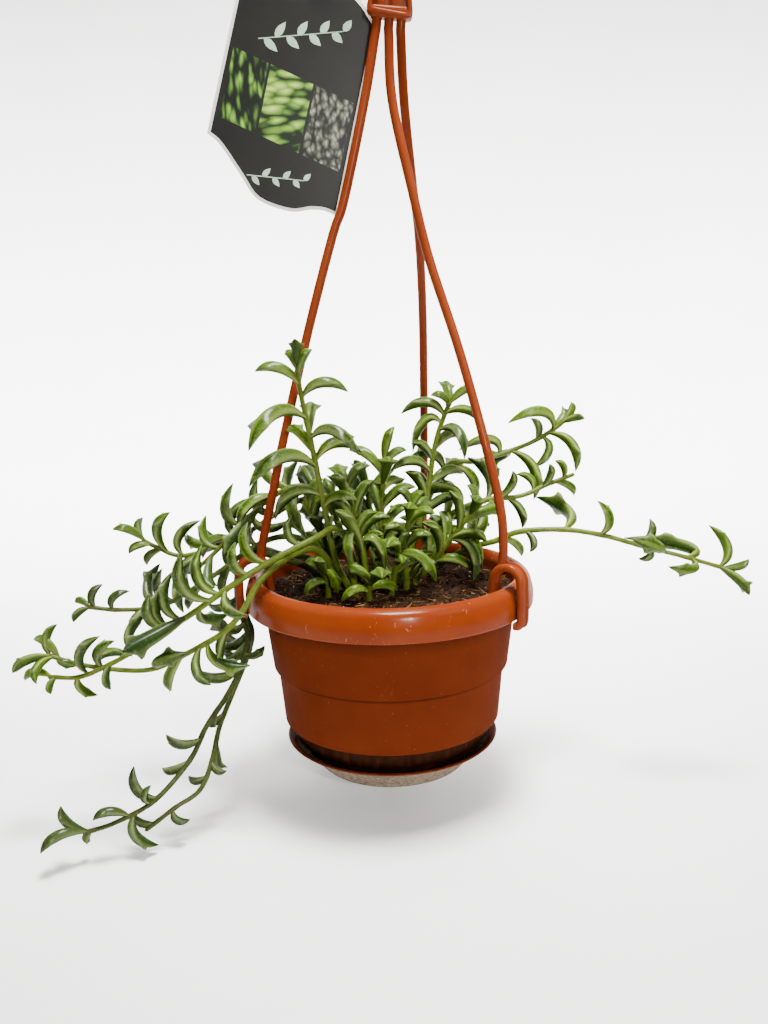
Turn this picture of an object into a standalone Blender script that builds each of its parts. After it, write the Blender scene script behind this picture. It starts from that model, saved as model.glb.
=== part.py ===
# A string of dolphins (a trailing succulent) in a hanging plastic pot, at its real size.
#
# Frame: metres, +Z up. The origin is the seat of the hook, where the hanger rests on whatever it hangs from.
# The viewer stands at -Y, and +X is to the viewer's right.
#
# Sizes below are in millimetres, measured from the middle of the pot's lip at the lip's lower edge.

import math
import random

import bmesh
import bpy
import numpy as np
from mathutils import Matrix, Vector

MM = 0.001
PART_NAME = "potted_string_of_dolphins"

# Driving dimensions
LIP_BELOW_SEAT = 280.0
POT_AXIS_FROM_SEAT = -10.9
RIM_RADIUS = 59.2
RIM_TOP = 12.2
WALL_TOP_RADIUS = 51.0
FOOT_DEPTH = 67.6
SAUCER_DEPTH = 69.5
SOIL_TOP = 5.5
SOIL_CROWN = 6.8
FIT_GAP = 0.3
TURNED_STEPS = 36

# Hanger
ROD_RADIUS = 1.8
SOCKET_DEPTH = 2.5
SOCKET_SPACING = 4.5
HEAD_TILT = math.radians(6.0)
BAR_BOTTOM = 58.5
BAR_HEIGHT = 4.3
BAR_WIDTH = 14.0
BAR_THICKNESS = 5.6
FRAME_BOTTOM = 56.8
FRAME_BAND = 1.9
FRAME_THICKNESS = 6.2
PANEL_THICKNESS = 2.4
HOOK_WIRE_RADIUS = 2.0
HOOK_INNER_RADIUS = 9.0
CLIP_RADIUS = 55.2
CLIP_ARCH_RADIUS = 5.9
CLIP_ARCH_HEIGHT = 14.6
CLIP_WIDTH = 6.0
ROD_LANDING = math.radians(120.0)
CLIP_THICKNESS = 3.0

# Plant
GOLDEN_TURN = math.radians(137.5)
SPIRAL_LEAN = 30.0
ROOT_DEPTH = 4.0
STEM_STRAIGHT_TO = 8.0
STEM_SEGMENT = 9.0
HOLE_CLEARANCE = 0.75
LEAF_CLEARANCE = 0.45
FULL_LEAF = 20.0


# Scene and materials

def clear_scene():
    for thing in list(bpy.data.objects):
        bpy.data.objects.remove(thing)


def new_collection(name, hidden=False):
    collection = bpy.data.collections.new(name)
    collection.hide_render = hidden
    bpy.context.scene.collection.children.link(collection)
    return collection


def new_material(name, colour, roughness):
    material = bpy.data.materials.new(name)
    material.use_nodes = True
    shader = material.node_tree.nodes["Principled BSDF"]
    shader.inputs["Base Color"].default_value = (*colour, 1.0)
    shader.inputs["Roughness"].default_value = roughness
    shader.inputs["Metallic"].default_value = 0.0
    material.diffuse_color = (*colour, 1.0)
    return material


def place(point):
    """Millimetres from the middle of the lip, to metres from the hook's seat."""
    x, y, z = point
    return Vector((x + POT_AXIS_FROM_SEAT, y, z - LIP_BELOW_SEAT)) * MM


def add_mesh(name, mesh, collection, material):
    thing = bpy.data.objects.new(name, mesh)
    mesh.materials.clear()
    mesh.materials.append(material)
    mesh.shade_smooth()
    mesh.set_sharp_from_angle(angle=math.radians(35.0))
    collection.objects.link(thing)
    return thing


def as_mesh(thing):
    """Turns a curve, or an object with modifiers, into a plain mesh object with its caps welded."""
    bpy.context.view_layer.update()
    seen = thing.evaluated_get(bpy.context.evaluated_depsgraph_get())
    mesh = bpy.data.meshes.new_from_object(seen)
    mesh.name = thing.name
    shape = bmesh.new()
    shape.from_mesh(mesh)
    bmesh.ops.remove_doubles(shape, verts=shape.verts, dist=0.00001)
    shape.to_mesh(mesh)
    shape.free()
    plain = bpy.data.objects.new(thing.name, mesh)
    plain.matrix_world = thing.matrix_world.copy()
    for holder in thing.users_collection:
        holder.objects.link(plain)
    name = thing.name
    bpy.data.objects.remove(thing)
    plain.name = name
    return plain


def drop_scraps(mesh):
    """Keeps a mesh's largest connected body, and drops loose scraps and the skins of sealed hollows."""
    shape = bmesh.new()
    shape.from_mesh(mesh)
    waiting = set(shape.faces)
    bodies = []
    while waiting:
        body = [waiting.pop()]
        for face in body:
            found = {other for edge in face.edges for other in edge.link_faces} & waiting
            waiting -= found
            body.extend(found)
        bodies.append(body)
    bodies.sort(key=len)
    for body in bodies[:-1]:
        print(mesh.name, "loses a scrap of", len(body), "faces")
        bmesh.ops.delete(shape, geom=body, context="FACES")
    shape.to_mesh(mesh)
    shape.free()


def fuse(name, base, others, material):
    """Joins the other objects to the base in one Boolean union, and removes them."""
    pieces = new_collection(name + "_pieces")
    for other in others:
        for holder in list(other.users_collection):
            holder.objects.unlink(other)
        pieces.objects.link(other)
    union = base.modifiers.new("fuse", "BOOLEAN")
    union.operation = "UNION"
    union.operand_type = "COLLECTION"
    union.collection = pieces
    union.solver = "EXACT"
    whole = as_mesh(base)
    whole.name = name
    for other in list(pieces.objects):
        bpy.data.objects.remove(other)
    bpy.data.collections.remove(pieces)
    mesh = whole.data
    drop_scraps(mesh)
    mesh.materials.clear()
    mesh.materials.append(material)
    mesh.shade_smooth()
    mesh.set_sharp_from_angle(angle=math.radians(35.0))
    return whole


def cut(thing, cutter_collection):
    """Takes every cutter of a collection out of an object. The cutters stay as hidden guides."""
    for cutter in cutter_collection.objects:
        cutter.hide_render = True
        cutter.display_type = "WIRE"
    difference = thing.modifiers.new("holes", "BOOLEAN")
    difference.operation = "DIFFERENCE"
    difference.operand_type = "COLLECTION"
    difference.collection = cutter_collection
    difference.solver = "EXACT"


# Shapes

def turned(name, profile, collection, material):
    """A turned piece: its profile (radius, height) runs from the inside, over the rim and down the outside."""
    shape = bmesh.new()
    corners = [shape.verts.new((radius * MM, 0.0, height * MM)) for radius, height in profile]
    for here, there in zip(corners, corners[1:]):
        shape.edges.new((here, there))
    mesh = bpy.data.meshes.new(name)
    shape.to_mesh(mesh)
    shape.free()
    thing = add_mesh(name, mesh, collection, material)
    thing.location = place((0.0, 0.0, 0.0))
    screw = thing.modifiers.new("turn", "SCREW")
    screw.steps = TURNED_STEPS
    screw.render_steps = TURNED_STEPS
    screw.use_merge_vertices = True
    screw.merge_threshold = 0.00001
    screw.use_smooth_shade = True
    return thing


def smooth_path(points, pieces):
    """Points along a smooth curve through the given points, about the given number for each stretch."""
    ends = [2 * points[0] - points[1], *points, 2 * points[-1] - points[-2]]
    path = []
    for a, b, c, d in zip(ends, ends[1:], ends[2:], ends[3:]):
        for step in range(pieces):
            t = step / pieces
            path.append(0.5 * (2 * b + (c - a) * t + (2 * a - 5 * b + 4 * c - d) * t * t
                               + (3 * b - a - 3 * c + d) * t ** 3))
    return [*path, points[-1]]


def tube(name, path, radii, collection, material, sides_step=1, closed=False):
    """A round rod along a path, in millimetres, with one radius for each point."""
    curve = bpy.data.curves.new(name, "CURVE")
    curve.dimensions = "3D"
    curve.bevel_depth = MM
    curve.bevel_resolution = sides_step
    curve.use_fill_caps = not closed
    line = curve.splines.new("POLY")
    line.points.add(len(path) - 1)
    line.use_cyclic_u = closed
    for knot, point, radius in zip(line.points, path, radii):
        knot.co = (*place(point), 1.0)
        knot.radius = radius
    curve.materials.append(material)
    thing = bpy.data.objects.new(name, curve)
    collection.objects.link(thing)
    return thing


def flat_plate(name, outlines, thickness, collection, material):
    """A plate cut to flat outlines in its own XY plane, in millimetres. Outlines inside the first are holes."""
    curve = bpy.data.curves.new(name, "CURVE")
    curve.dimensions = "2D"
    curve.fill_mode = "BOTH"
    curve.extrude = 0.5 * thickness * MM
    for outline in outlines:
        line = curve.splines.new("POLY")
        line.points.add(len(outline) - 1)
        line.use_cyclic_u = True
        for knot, (x, y) in zip(line.points, outline):
            knot.co = (x * MM, y * MM, 0.0, 1.0)
    curve.materials.append(material)
    thing = bpy.data.objects.new(name, curve)
    collection.objects.link(thing)
    return thing


def ring_of_points(centre, radius, start, end, count):
    """Points on an arc in a plane, from one angle in degrees to another."""
    angles = [math.radians(start + (end - start) * i / (count - 1)) for i in range(count)]
    return [(centre[0] + radius * math.cos(a), centre[1] + radius * math.sin(a)) for a in angles]


# Pot, saucer and soil

def make_pot(collection, material):
    profile = [
        (0.0, -65.8), (27.0, -65.8), (36.0, -58.6), (38.6, -55.0), (39.0, -48.6), (43.0, -47.6), (46.9, -25.8),
        (51.2, 10.0), (52.2, 11.6), (54.8, RIM_TOP), (57.4, 10.8), (RIM_RADIUS, 5.0), (59.0, 0.2), (58.4, -0.2),
        (51.8, 0.8), (48.6, -25.6), (47.2, -26.3), (44.8, -49.3), (40.6, -50.0),
        (40.2, -55.6), (37.0, -60.6), (28.6, -FOOT_DEPTH), (0.0, -FOOT_DEPTH),
    ]
    return turned("pot", profile, collection, material)


def make_saucer(collection, material):
    profile = [
        (0.0, -67.9), (29.3, -67.9), (41.4, -58.0), (42.9, -57.4), (44.3, -57.2), (42.6, -58.6),
        (36.0, -63.7), (31.8, -68.3), (31.0, -SAUCER_DEPTH), (0.0, -SAUCER_DEPTH),
    ]
    return turned("saucer", profile, collection, material)


def make_soil(collection, material, holes):
    profile = [
        (0.0, SOIL_CROWN), (34.0, SOIL_TOP + 0.7), (50.0, SOIL_TOP),
        (46.5, -26.0), (42.6, -47.3), (38.6, -48.3), (38.2, -54.9), (35.7, -58.3), (26.8, -65.4),
        (0.0, -65.4),
    ]
    soil = turned("soil", profile, collection, material)
    cut(soil, holes)
    return soil


# Hanger: a head with a hook, and three rods that end in clips over the rim

def head_point(x, z, y=0.0):
    """A point of the tilted head, given in the head's own frame, whose origin is the hook's seat."""
    turned_point = Matrix.Rotation(HEAD_TILT, 3, "Y") @ Vector((x, y, z))
    return turned_point + Vector((-POT_AXIS_FROM_SEAT, 0.0, LIP_BELOW_SEAT))


def stand_in_head(thing):
    """Turns a flat plate upright and tilts it with the head."""
    thing.matrix_world = Matrix.Rotation(HEAD_TILT, 4, "Y") @ Matrix.Rotation(math.radians(90.0), 4, "X")
    return as_mesh(thing)


def make_hook_wire(collection, material):
    radius = HOOK_INNER_RADIUS + HOOK_WIRE_RADIUS
    shank = [(0.0, -38.0), (0.0, -34.0), (0.0, -29.5), (3.2, -24.5), (8.6, -19.8), (radius, -14.0)]
    arc = ring_of_points((0.0, -HOOK_INNER_RADIUS), radius, 0.0, 205.0, 12)
    path = [head_point(x, z) for x, z in shank + arc]
    wire = tube("hook_wire", path, [HOOK_WIRE_RADIUS] * len(path), collection, material, sides_step=2)
    return as_mesh(wire)


def make_bar(collection, material):
    shape = bmesh.new()
    size = Matrix.Diagonal((BAR_WIDTH * MM, BAR_THICKNESS * MM, BAR_HEIGHT * MM, 1.0))
    bmesh.ops.create_cube(shape, size=1.0, matrix=size)
    bmesh.ops.bevel(shape, geom=shape.edges, offset=0.7 * MM, segments=1, affect="EDGES")
    mesh = bpy.data.meshes.new("hanger_head")
    shape.to_mesh(mesh)
    shape.free()
    bar = add_mesh("hanger_head", mesh, collection, material)
    tilt = Matrix.Rotation(HEAD_TILT, 4, "Y")
    bar.matrix_world = tilt @ Matrix.Translation((0.0, 0.0, (0.5 * BAR_HEIGHT - BAR_BOTTOM) * MM))
    return bar


def make_sockets(cutters, material):
    """Round sockets in the underside of the bar, one for the top of each rod."""
    for index, side in enumerate((-1, 0, 1)):
        x = side * SOCKET_SPACING
        path = [head_point(x, -BAR_BOTTOM + SOCKET_DEPTH), head_point(x, -BAR_BOTTOM - 2.0)]
        radius = ROD_RADIUS + FIT_GAP + 0.05
        socket = tube(f"socket_{index}", path, [radius] * 2, cutters, material, sides_step=2)
        as_mesh(socket)


def make_head(collection, material, sockets):
    foot, band = FRAME_BOTTOM, FRAME_BAND
    outline = [(-8.0, -foot), (8.0, -foot), (8.8, 1.0 - foot), (6.0, -39.0), (3.4, -36.0), (-3.4, -36.0),
               (-6.0, -39.0), (-8.8, 1.0 - foot)]
    window = [(-6.6, band - foot), (6.6, band - foot), (4.4, -40.6), (-4.4, -40.6)]
    panel = [(-7.2, 1.0 - foot), (7.2, 1.0 - foot), (5.0, -39.9), (-5.0, -39.9)]
    frame = stand_in_head(flat_plate("head_frame", [outline, window], FRAME_THICKNESS, collection, material))
    ribbed = stand_in_head(flat_plate("head_panel", [panel], PANEL_THICKNESS, collection, material))
    wire = make_hook_wire(collection, material)
    head = fuse("hanger_head", make_bar(collection, material), [frame, ribbed, wire], material)
    cut(head, sockets)
    return head


CLIPS = {  # the rod's name: the direction of its clip round the rim, and which socket holds its top
    "strap_left": (190.0, -1),
    "strap_right": (-34.5, 0),
    "strap_back": (72.0, 1),
}

ROD_ROUTES = {
    "strap_left": [(-5.0, -1.8, 193.7), (-13.7, -3.0, 158.1), (-18.4, -3.7, 145.3), (-28.9, -5.5, 110.0),
                   (-40.3, -7.5, 67.7), (-46.0, -8.6, 44.0), (-50.0, -9.0, 27.9)],
    "strap_right": [(5.3, -2.0, 193.5), (12.0, -8.0, 160.5), (17.9, -13.0, 134.8), (28.2, -20.0, 101.5),
                    (37.7, -28.0, 64.7), (42.6, -30.0, 42.2), (43.6, -30.2, 27.0)],
    "strap_back": [(9.9, 6.0, 195.1), (12.9, 18.0, 167.5), (15.7, 28.0, 145.1), (17.3, 41.0, 108.3),
                   (17.3, 51.0, 47.3), (16.8, 51.2, 27.0)],
}


def rod_path(name):
    """The rod's middle line, from its socket in the bar down into the top of its clip."""
    direction, socket = CLIPS[name]
    x = socket * SOCKET_SPACING
    top = [head_point(x, -BAR_BOTTOM + SOCKET_DEPTH - FIT_GAP), head_point(x, -BAR_BOTTOM),
           head_point(x, -BAR_BOTTOM - 3.0)]
    turn = math.radians(direction)
    landing = CLIP_RADIUS + CLIP_ARCH_RADIUS * math.cos(ROD_LANDING)
    clip = Vector((landing * math.cos(turn), landing * math.sin(turn), 0.0))
    clip.z = CLIP_ARCH_HEIGHT + CLIP_ARCH_RADIUS * math.sin(ROD_LANDING)
    route = [top[2], *[Vector(point) for point in ROD_ROUTES[name]], clip]
    return [*top[:2], *route]


def clip_line():
    """The middle line of the clip's band, as (radius from the pot's axis, height), from inside to catch."""
    arch = ring_of_points((CLIP_RADIUS, CLIP_ARCH_HEIGHT), CLIP_ARCH_RADIUS, 180.0, 0.0, 9)
    inner, outer = arch[0][0], arch[-1][0]
    return [(inner - 0.8, 7.4), *arch, (outer + 0.4, 6.0), (outer + 0.2, -0.4), (outer - 0.6, -2.1), (58.4, -2.2)]


def band_outline(line, thickness):
    """The outline of a band of even thickness that follows a line."""
    near, far = [], []
    for index, (x, y) in enumerate(line):
        before = line[max(index - 1, 0)]
        after = line[min(index + 1, len(line) - 1)]
        dx, dy = after[0] - before[0], after[1] - before[1]
        length = math.hypot(dx, dy)
        side = (-dy / length * thickness / 2, dx / length * thickness / 2)
        near.append((x + side[0], y + side[1]))
        far.append((x - side[0], y - side[1]))
    return near + far[::-1]


def make_strap(name, collection, material):
    outline = band_outline(clip_line(), CLIP_THICKNESS)
    clip = flat_plate(name + "_clip", [outline], CLIP_WIDTH, collection, material)
    stand = Matrix.Rotation(math.radians(CLIPS[name][0]), 4, "Z") @ Matrix.Rotation(math.radians(90.0), 4, "X")
    clip.matrix_world = Matrix.Translation(place((0.0, 0.0, 0.0))) @ stand
    path = rod_path(name)
    rod = tube(name + "_rod", path, [ROD_RADIUS] * len(path), collection, material, sides_step=2)
    return fuse(name, as_mesh(clip), [as_mesh(rod)], material)


# Plant label, tied to the head

CARD_CORNER = Vector((-65.6, 5.0, 184.7))
CARD_TURN = math.radians(15.0)
CARD_THICKNESS = 0.8
CARD_HOLE = (27.0, 60.0)
CARD_HOLE_RADIUS = 2.4
TIE_RADIUS = 0.6


def card_outline():
    dome = ring_of_points((27.0, 37.0), 29.0, 62.0, 118.0, 9)
    return [(0.0, 0.0), (5.7, -3.0), (15.4, -11.8), (24.0, -19.2), (37.1, -20.6), (44.5, -18.1), (50.0, -17.2),
            (55.6, -18.1), (55.0, 10.0), (54.2, 52.0), (48.0, 58.0), *dome, (6.5, 58.0), (1.0, 52.0)]


def make_tag(collection, material):
    hole = ring_of_points(CARD_HOLE, CARD_HOLE_RADIUS, 0.0, 330.0, 12)
    card = flat_plate("tag", [card_outline(), hole], CARD_THICKNESS, collection, material)
    turn = Matrix.Rotation(CARD_TURN, 4, "Y") @ Matrix.Rotation(math.radians(90.0), 4, "X")
    card.matrix_world = Matrix.Translation(place(CARD_CORNER)) @ turn
    return card


def make_tag_tie(collection, material):
    """A thin closed loop that the card hangs on, through its hole and round the neck of the head."""
    turn = Matrix.Rotation(CARD_TURN, 3, "Y")
    hole = CARD_CORNER + turn @ Vector((CARD_HOLE[0], 0.0, CARD_HOLE[1] + CARD_HOLE_RADIUS - TIE_RADIUS - 0.4))
    neck = head_point(0.0, -32.0)
    middle = hole.lerp(neck, 0.6)
    path = [hole, hole + Vector((0.4, -1.5, 0.0)), hole + Vector((6.0, -2.6, 1.0)),
            middle + Vector((0.0, -3.2, -1.0)), neck + Vector((-1.0, -3.2, -0.2)),
            neck + Vector((2.4, -2.2, 0.3)), neck + Vector((3.3, 0.0, 0.4)), neck + Vector((2.4, 2.2, 0.3)),
            neck + Vector((-1.0, 3.2, -0.2)), middle + Vector((0.0, 4.0, -1.6)),
            hole + Vector((6.0, 2.4, 0.6)), hole + Vector((0.4, 1.5, -0.1))]
    return tube("tag_tie", path, [TIE_RADIUS] * len(path), collection, material, sides_step=1, closed=True)


# The plant: routes of the stems, and the leaves that stand out on each

# A leaf is (millimetres back from the stem's tip, direction of its tip on a clock face seen from the front in
# degrees, 0 to the right and 90 up, lean away from the viewer in degrees, length). A stem's filling is
# (nearest and furthest millimetres from the tip, spacing, length): there the leaves follow the spiral rule.
STEMS = {
    "stem_upright": {
        "foot": (-16, -12),
        "route": [(-21, -14, 20), (-24, -16, 39), (-27, -19, 59), (-30, -20, 77), (-32, -21, 90), (-32, -22, 96)],
        "leaves": [(55, 20, -30, 14), (50, 205, -10, 22), (38, 187, -10, 24), (36, 8, 10, 18), (33, 150, 45, 13),
                   (27, 345, -5, 20), (26, 125, 30, 11), (19, 203, -15, 22), (11, 8, -5, 18), (6, 160, -10, 18),
                   (2, 62, 10, 11), (1.5, 118, -10, 10), (0.5, 92, 0, 12)],
        "filling": None,
    },
    "stem_left_long": {
        "foot": (-13.5, -18),
        "route": [(-15, -18, 21), (-17, -18, 31), (-21, -19, 34.5), (-28, -21.5, 31), (-42, -28, 25.5),
                  (-56, -34, 18.5), (-75, -39, 6.5), (-84, -40, 1.5), (-93, -41, -4.5), (-106, -41, -11.5),
                  (-118, -40, -16.5), (-130, -38, -17)],
        "leaves": [(111, 110, 15, 12), (96, 120, 5, 17), (88, 110, 25, 14), (78, 305, -25, 16), (75, 110, 10, 20),
                   (71, 112, -5, 23), (66, 320, 0, 14), (61, 200, -15, 22), (58, 100, -5, 19), (53, 100, 0, 16),
                   (52, 112, 15, 16), (37, 75, 0, 14), (26, 270, -10, 9), (16, 70, 0, 17), (12, 300, -10, 11),
                   (3, 250, 0, 6), (1, 190, 0, 13)],
        "filling": None,
    },
    "stem_left_front": {
        "foot": (-21, -10),
        "route": [(-24.5, -10.5, 19), (-30, -13, 24.5), (-37, -19, 24), (-45, -28, 20.5), (-50.5, -33.5, 15),
                  (-56, -36, 6), (-64, -36, -2), (-78, -35, -10), (-92, -35, -16), (-108, -36, -15), (-122, -36, -12),
                  (-130, -36, -9)],
        "leaves": [(74, 255, 10, 14), (64, 325, -15, 19), (61, 290, -10, 13), (53, 245, -10, 18), (43, 30, -15, 14),
                   (21, 65, 0, 14), (19, 15, -10, 13), (5, 340, 15, 7), (4, 145, 10, 13), (2, 240, -15, 13),
                   (1, 190, -15, 12), (0.5, 85, 0, 11)],
        "filling": None,
    },
    "stem_left_loop": {
        "foot": (-12, 3),
        "route": [(-16, 3, 20), (-24, 4, 38), (-34, 4, 47), (-44, 2, 45), (-54, 0, 38), (-64, -3, 28),
                  (-75, -5, 18)],
        "leaves": [(72, 105, 20, 18), (63, 125, 20, 17), (54, 250, -20, 16), (47, 140, 20, 16), (40, 215, -15, 19),
                   (33, 230, -20, 22), (28, 315, -25, 16), (22, 100, 20, 18), (15, 215, 0, 16), (9, 120, 15, 14),
                   (5, 260, -10, 13), (1, 205, 0, 12)],
        "filling": None,
    },
    "stem_left_back": {
        "foot": (-10, 10),
        "route": [(-14, 13, 22), (-21, 15, 38), (-37, 16, 39), (-62, 12, 25), (-85, 8, 18), (-97, 8, 22),
                  (-102.5, 8, 25)],
        "leaves": [(84, 115, 20, 18), (72, 95, 20, 16), (60, 110, 10, 18), (50, 255, -10, 17), (42, 65, 5, 20),
                   (38, 150, 10, 12), (35, 172, -10, 18), (25, 250, -15, 20), (22, 262, -15, 16), (18, 65, 5, 16),
                   (11, 80, 5, 19), (9, 220, -15, 11), (4, 195, 0, 10), (1, 150, -10, 14), (0.5, 105, 15, 9)],
        "filling": None,
    },
    "stem_left_low": {
        "foot": (-20, -4),
        "route": [(-26, -5, 20), (-36, -3, 27), (-48, 1, 26), (-60, -1, 20), (-70, -5, 13.5), (-91, -9, 2), (-108, -12, 1),
                  (-121, -13.5, 3)],
        "leaves": [(75, 100, 10, 15), (63, 250, -10, 16), (55, 110, 15, 18), (49, 235, -15, 15), (42, 75, 0, 15),
                   (34, 102, 0, 15), (29, 106, 20, 14), (23, 240, -10, 9), (10, 50, 0, 10), (3, 75, 0, 10),
                   (1, 215, 0, 8), (0.5, 160, -10, 7)],
        "filling": None,
    },
    "stem_trail_long": {
        "foot": (-27, -3),
        "route": [(-33, -4, 15), (-43, -2, 18), (-55, 1.5, 20), (-62.3, 2, 13.5), (-63, 0, 0), (-60, -5, -8),
                  (-58, -10, -14), (-60.3, -18, -22.6), (-65.5, -26, -31.6), (-72.5, -34, -40.5),
                  (-77.8, -42, -50.3), (-90, -51, -62), (-104, -56, -68), (-115, -58.5, -70.5)],
        "leaves": [(132, 110, 10, 14), (120, 200, -15, 14), (108, 150, -10, 15), (100, 235, -15, 16),
                   (94, 20, 0, 9), (88, 170, -20, 16), (68, 250, -20, 8), (56, 162, 0, 13), (47, 200, -10, 12),
                   (29, 130, 0, 15), (26, 88, 20, 8), (19, 295, -20, 17), (17, 175, 0, 13), (2, 132, 0, 15),
                   (3, 245, 0, 7), (0.5, 190, 0, 15)],
        "filling": None,
    },
    "stem_trail_short": {
        "foot": (-25, 5),
        "route": [(-32, 5, 16), (-44, 6, 18), (-54.5, 9, 20), (-61.8, 10, 13.5), (-62.6, 7.5, 0), (-60, 3, -8),
                  (-57.8, 0, -14), (-58.9, -7, -21), (-63.6, -15, -32), (-68.8, -25, -44), (-71.2, -33, -55),
                  (-75, -41, -63.4), (-84, -46, -68), (-94, -51, -74)],
        "leaves": [(118, 100, 20, 13), (104, 150, -10, 12), (94, 200, -10, 14), (88, 160, 0, 14),
                   (82, 200, 10, 13), (56, 215, -10, 7), (44, 268, -15, 15), (36, 330, 0, 7), (30, 190, 0, 8),
                   (12, 320, -10, 8), (4, 150, 10, 9), (2, 262, 0, 14)],
        "filling": None,
    },
    "stem_right_long": {
        "foot": (15, 11),
        "route": [(23, 11, 12), (34, 10, 18), (45, 9, 21), (55, 8, 25), (72, 6, 26), (88, 3, 24), (103, 0, 20),
                  (119, -3, 16), (136, -5, 11)],
        "leaves": [(104, 110, 10, 16), (92, 290, -20, 12), (82, 285, -10, 8), (66, 125, 40, 12), (51, 93, 0, 15),
                   (35, 60, 30, 12), (30, 240, 0, 7), (28, 150, -10, 15), (15, 161, 0, 26), (13, 185, -50, 12),
                   (2, 318, 0, 15), (1.5, 95, 0, 16), (0.5, 18, 0, 11)],
        "filling": None,
    },
    "stem_right_high": {
        "foot": (7, 17),
        "route": [(12, 18, 22), (18, 20, 38), (27, 22, 52), (40, 24, 53), (60, 26, 59), (72, 28, 65), (77, 28, 69)],
        "leaves": [(74, 110, 10, 16), (66, 40, 20, 16), (58, 150, 0, 17), (52, 300, -15, 18), (44, 330, 10, 14),
                   (32, 170, 15, 18), (29, 210, 10, 13), (27, 300, -10, 19), (15, 95, 25, 9), (12, 256, -20, 14),
                   (9, 306, 0, 19), (8, 42, 5, 13), (6, 168, 0, 21), (2, 15, -10, 10), (0.5, 60, 0, 9)],
        "filling": None,
    },
    "stem_right_mid": {
        "foot": (10, 6),
        "route": [(16, 7, 20), (23, 8, 31), (39, 10, 38), (56, 14, 39), (67, 16, 43), (79, 18, 47)],
        "leaves": [(84, 30, -20, 15), (74, 130, 10, 16), (66, 330, -20, 17), (60, 95, 10, 17), (53, 280, -25, 17),
                   (46, 255, -20, 16), (40, 118, 15, 15), (35, 60, 15, 14), (31, 300, -15, 15), (19, 130, 0, 10),
                   (15, 85, 10, 11), (9, 328, -10, 12), (5, 110, 10, 9), (1, 20, 0, 10), (51, 155, -10, 24)],
        "filling": None,
    },
    "stem_centre_tall": {
        "foot": (4, 1),
        "route": [(10, 3, 22), (16, 5, 40), (20, 7, 62), (24, 8, 74), (26.5, 8, 79.5)],
        "leaves": [(56, 200, -20, 18), (49, 30, -15, 18), (42, 120, 20, 16), (36, 340, 10, 16), (30, 170, -15, 17),
                   (25, 135, 10, 12), (21, 20, 20, 13), (12, 315, -15, 14), (9, 222, -5, 17), (6, 174, 0, 18),
                   (5, 350, 5, 14), (3, 95, 15, 11), (1.5, 145, 10, 9), (0.5, 33, 0, 12)],
        "filling": None,
    },
    "crown_stem_1": {
        "foot": (-8, -21),
        "route": [(-9, -22, 16), (-10, -23, 27), (-13, -23, 38)],
        "leaves": [(14, 115, -20, 22), (9, 310, -25, 15), (5, 255, -10, 11)],
        "filling": (1, 12, 3.6, 13),
    },
    "crown_stem_2": {
        "foot": (-8, -11),
        "route": [(-10, -11, 22), (-13, -10, 38), (-16, -10, 52)],
        "leaves": [(27, 205, -20, 15)],
        "filling": (1, 32, 3.5, 19),
    },
    "crown_stem_3": {
        "foot": (-2, -11),
        "route": [(-3, -9, 25), (-2, -6, 42), (-1, -4, 58)],
        "leaves": [(0.5, 75, 0, 15)],
        "filling": (1, 38, 3.5, 19),
    },
    "crown_stem_4": {
        "foot": (7, -10),
        "route": [(7, -12, 22), (8, -14, 34), (9.5, -14, 42)],
        "leaves": [(1, 110, -15, 10), (2, 55, -15, 9), (8, 30, 0, 12)],
        "filling": (4, 30, 3.6, 17),
    },
    "crown_stem_5": {
        "foot": (11, -3),
        "route": [(19, -5, 18), (28, -6, 29), (36, -7, 40)],
        "leaves": [(18, 300, -25, 18)],
        "filling": (1, 34, 4.0, 19),
    },
    "crown_stem_6": {
        "foot": (-20, 4),
        "route": [(-24, 2, 20), (-29, -2, 32), (-33, -6, 43)],
        "leaves": [],
        "filling": (1, 34, 4.4, 18),
    },
    "crown_stem_7": {
        "foot": (1, -17),
        "route": [(2.5, -19, 16), (4, -21, 25)],
        "leaves": [(2, 328, -15, 18), (0.5, 50, -25, 10), (1, 125, -30, 8)],
        "filling": (5, 14, 4.0, 12),
    },
    "crown_stem_8": {
        "foot": (-3, 9),
        "route": [(-4, 9, 22), (-7, 8, 36), (-9, 8, 48)],
        "leaves": [],
        "filling": (1, 36, 4.3, 19),
    },
    "back_stem_1": {
        "foot": (-6, 24),
        "route": [(-9, 30, 20), (-15, 39, 31), (-24, 50, 31), (-32, 60, 20), (-36, 66, 4)],
        "leaves": [],
        "filling": (2, 70, 7.5, 18),
    },
    "back_stem_2": {
        "foot": (20, 24),
        "route": [(25, 29, 20), (31, 37, 29), (40, 46, 28), (47, 54, 18)],
        "leaves": [],
        "filling": (2, 50, 7.5, 18),
    },
    "sprout_left": {
        "foot": (-24, -19),
        "route": [(-24, -20, 13), (-25, -21, 18)],
        "leaves": [(6, 200, -20, 10), (5, 60, 30, 9), (3, 110, -10, 10), (1, 300, -30, 10), (0.5, 150, 0, 9)],
        "filling": None,
    },
    "sprout_front": {
        "foot": (-8, -26),
        "route": [(-8, -27, 11), (-7, -28, 14)],
        "leaves": [(4, 190, -20, 11), (3, 10, -10, 12), (1, 60, -30, 10), (0.5, 120, 20, 9)],
        "filling": None,
    },
}

# Share of the leaf's length, half its width, how far its ridge rises over the midrib and how far its flat side
# lies under it, on a full leaf. The pointed side fins are at the widest station.
LEAF_STATIONS = [(0.0, 0.7, 0.7, 0.5), (0.34, 2.5, 2.3, 1.5), (0.66, 4.2, 2.6, 1.6), (0.82, 2.2, 1.7, 1.1)]
SMALL_LEAF_STATIONS = [(0.0, 0.6, 0.6, 0.4), (0.58, 3.8, 2.4, 1.5), (0.8, 2.1, 1.6, 1.0)]
FIN_SWEEP = 0.9
SMALL_LEAF = 11.5


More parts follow.
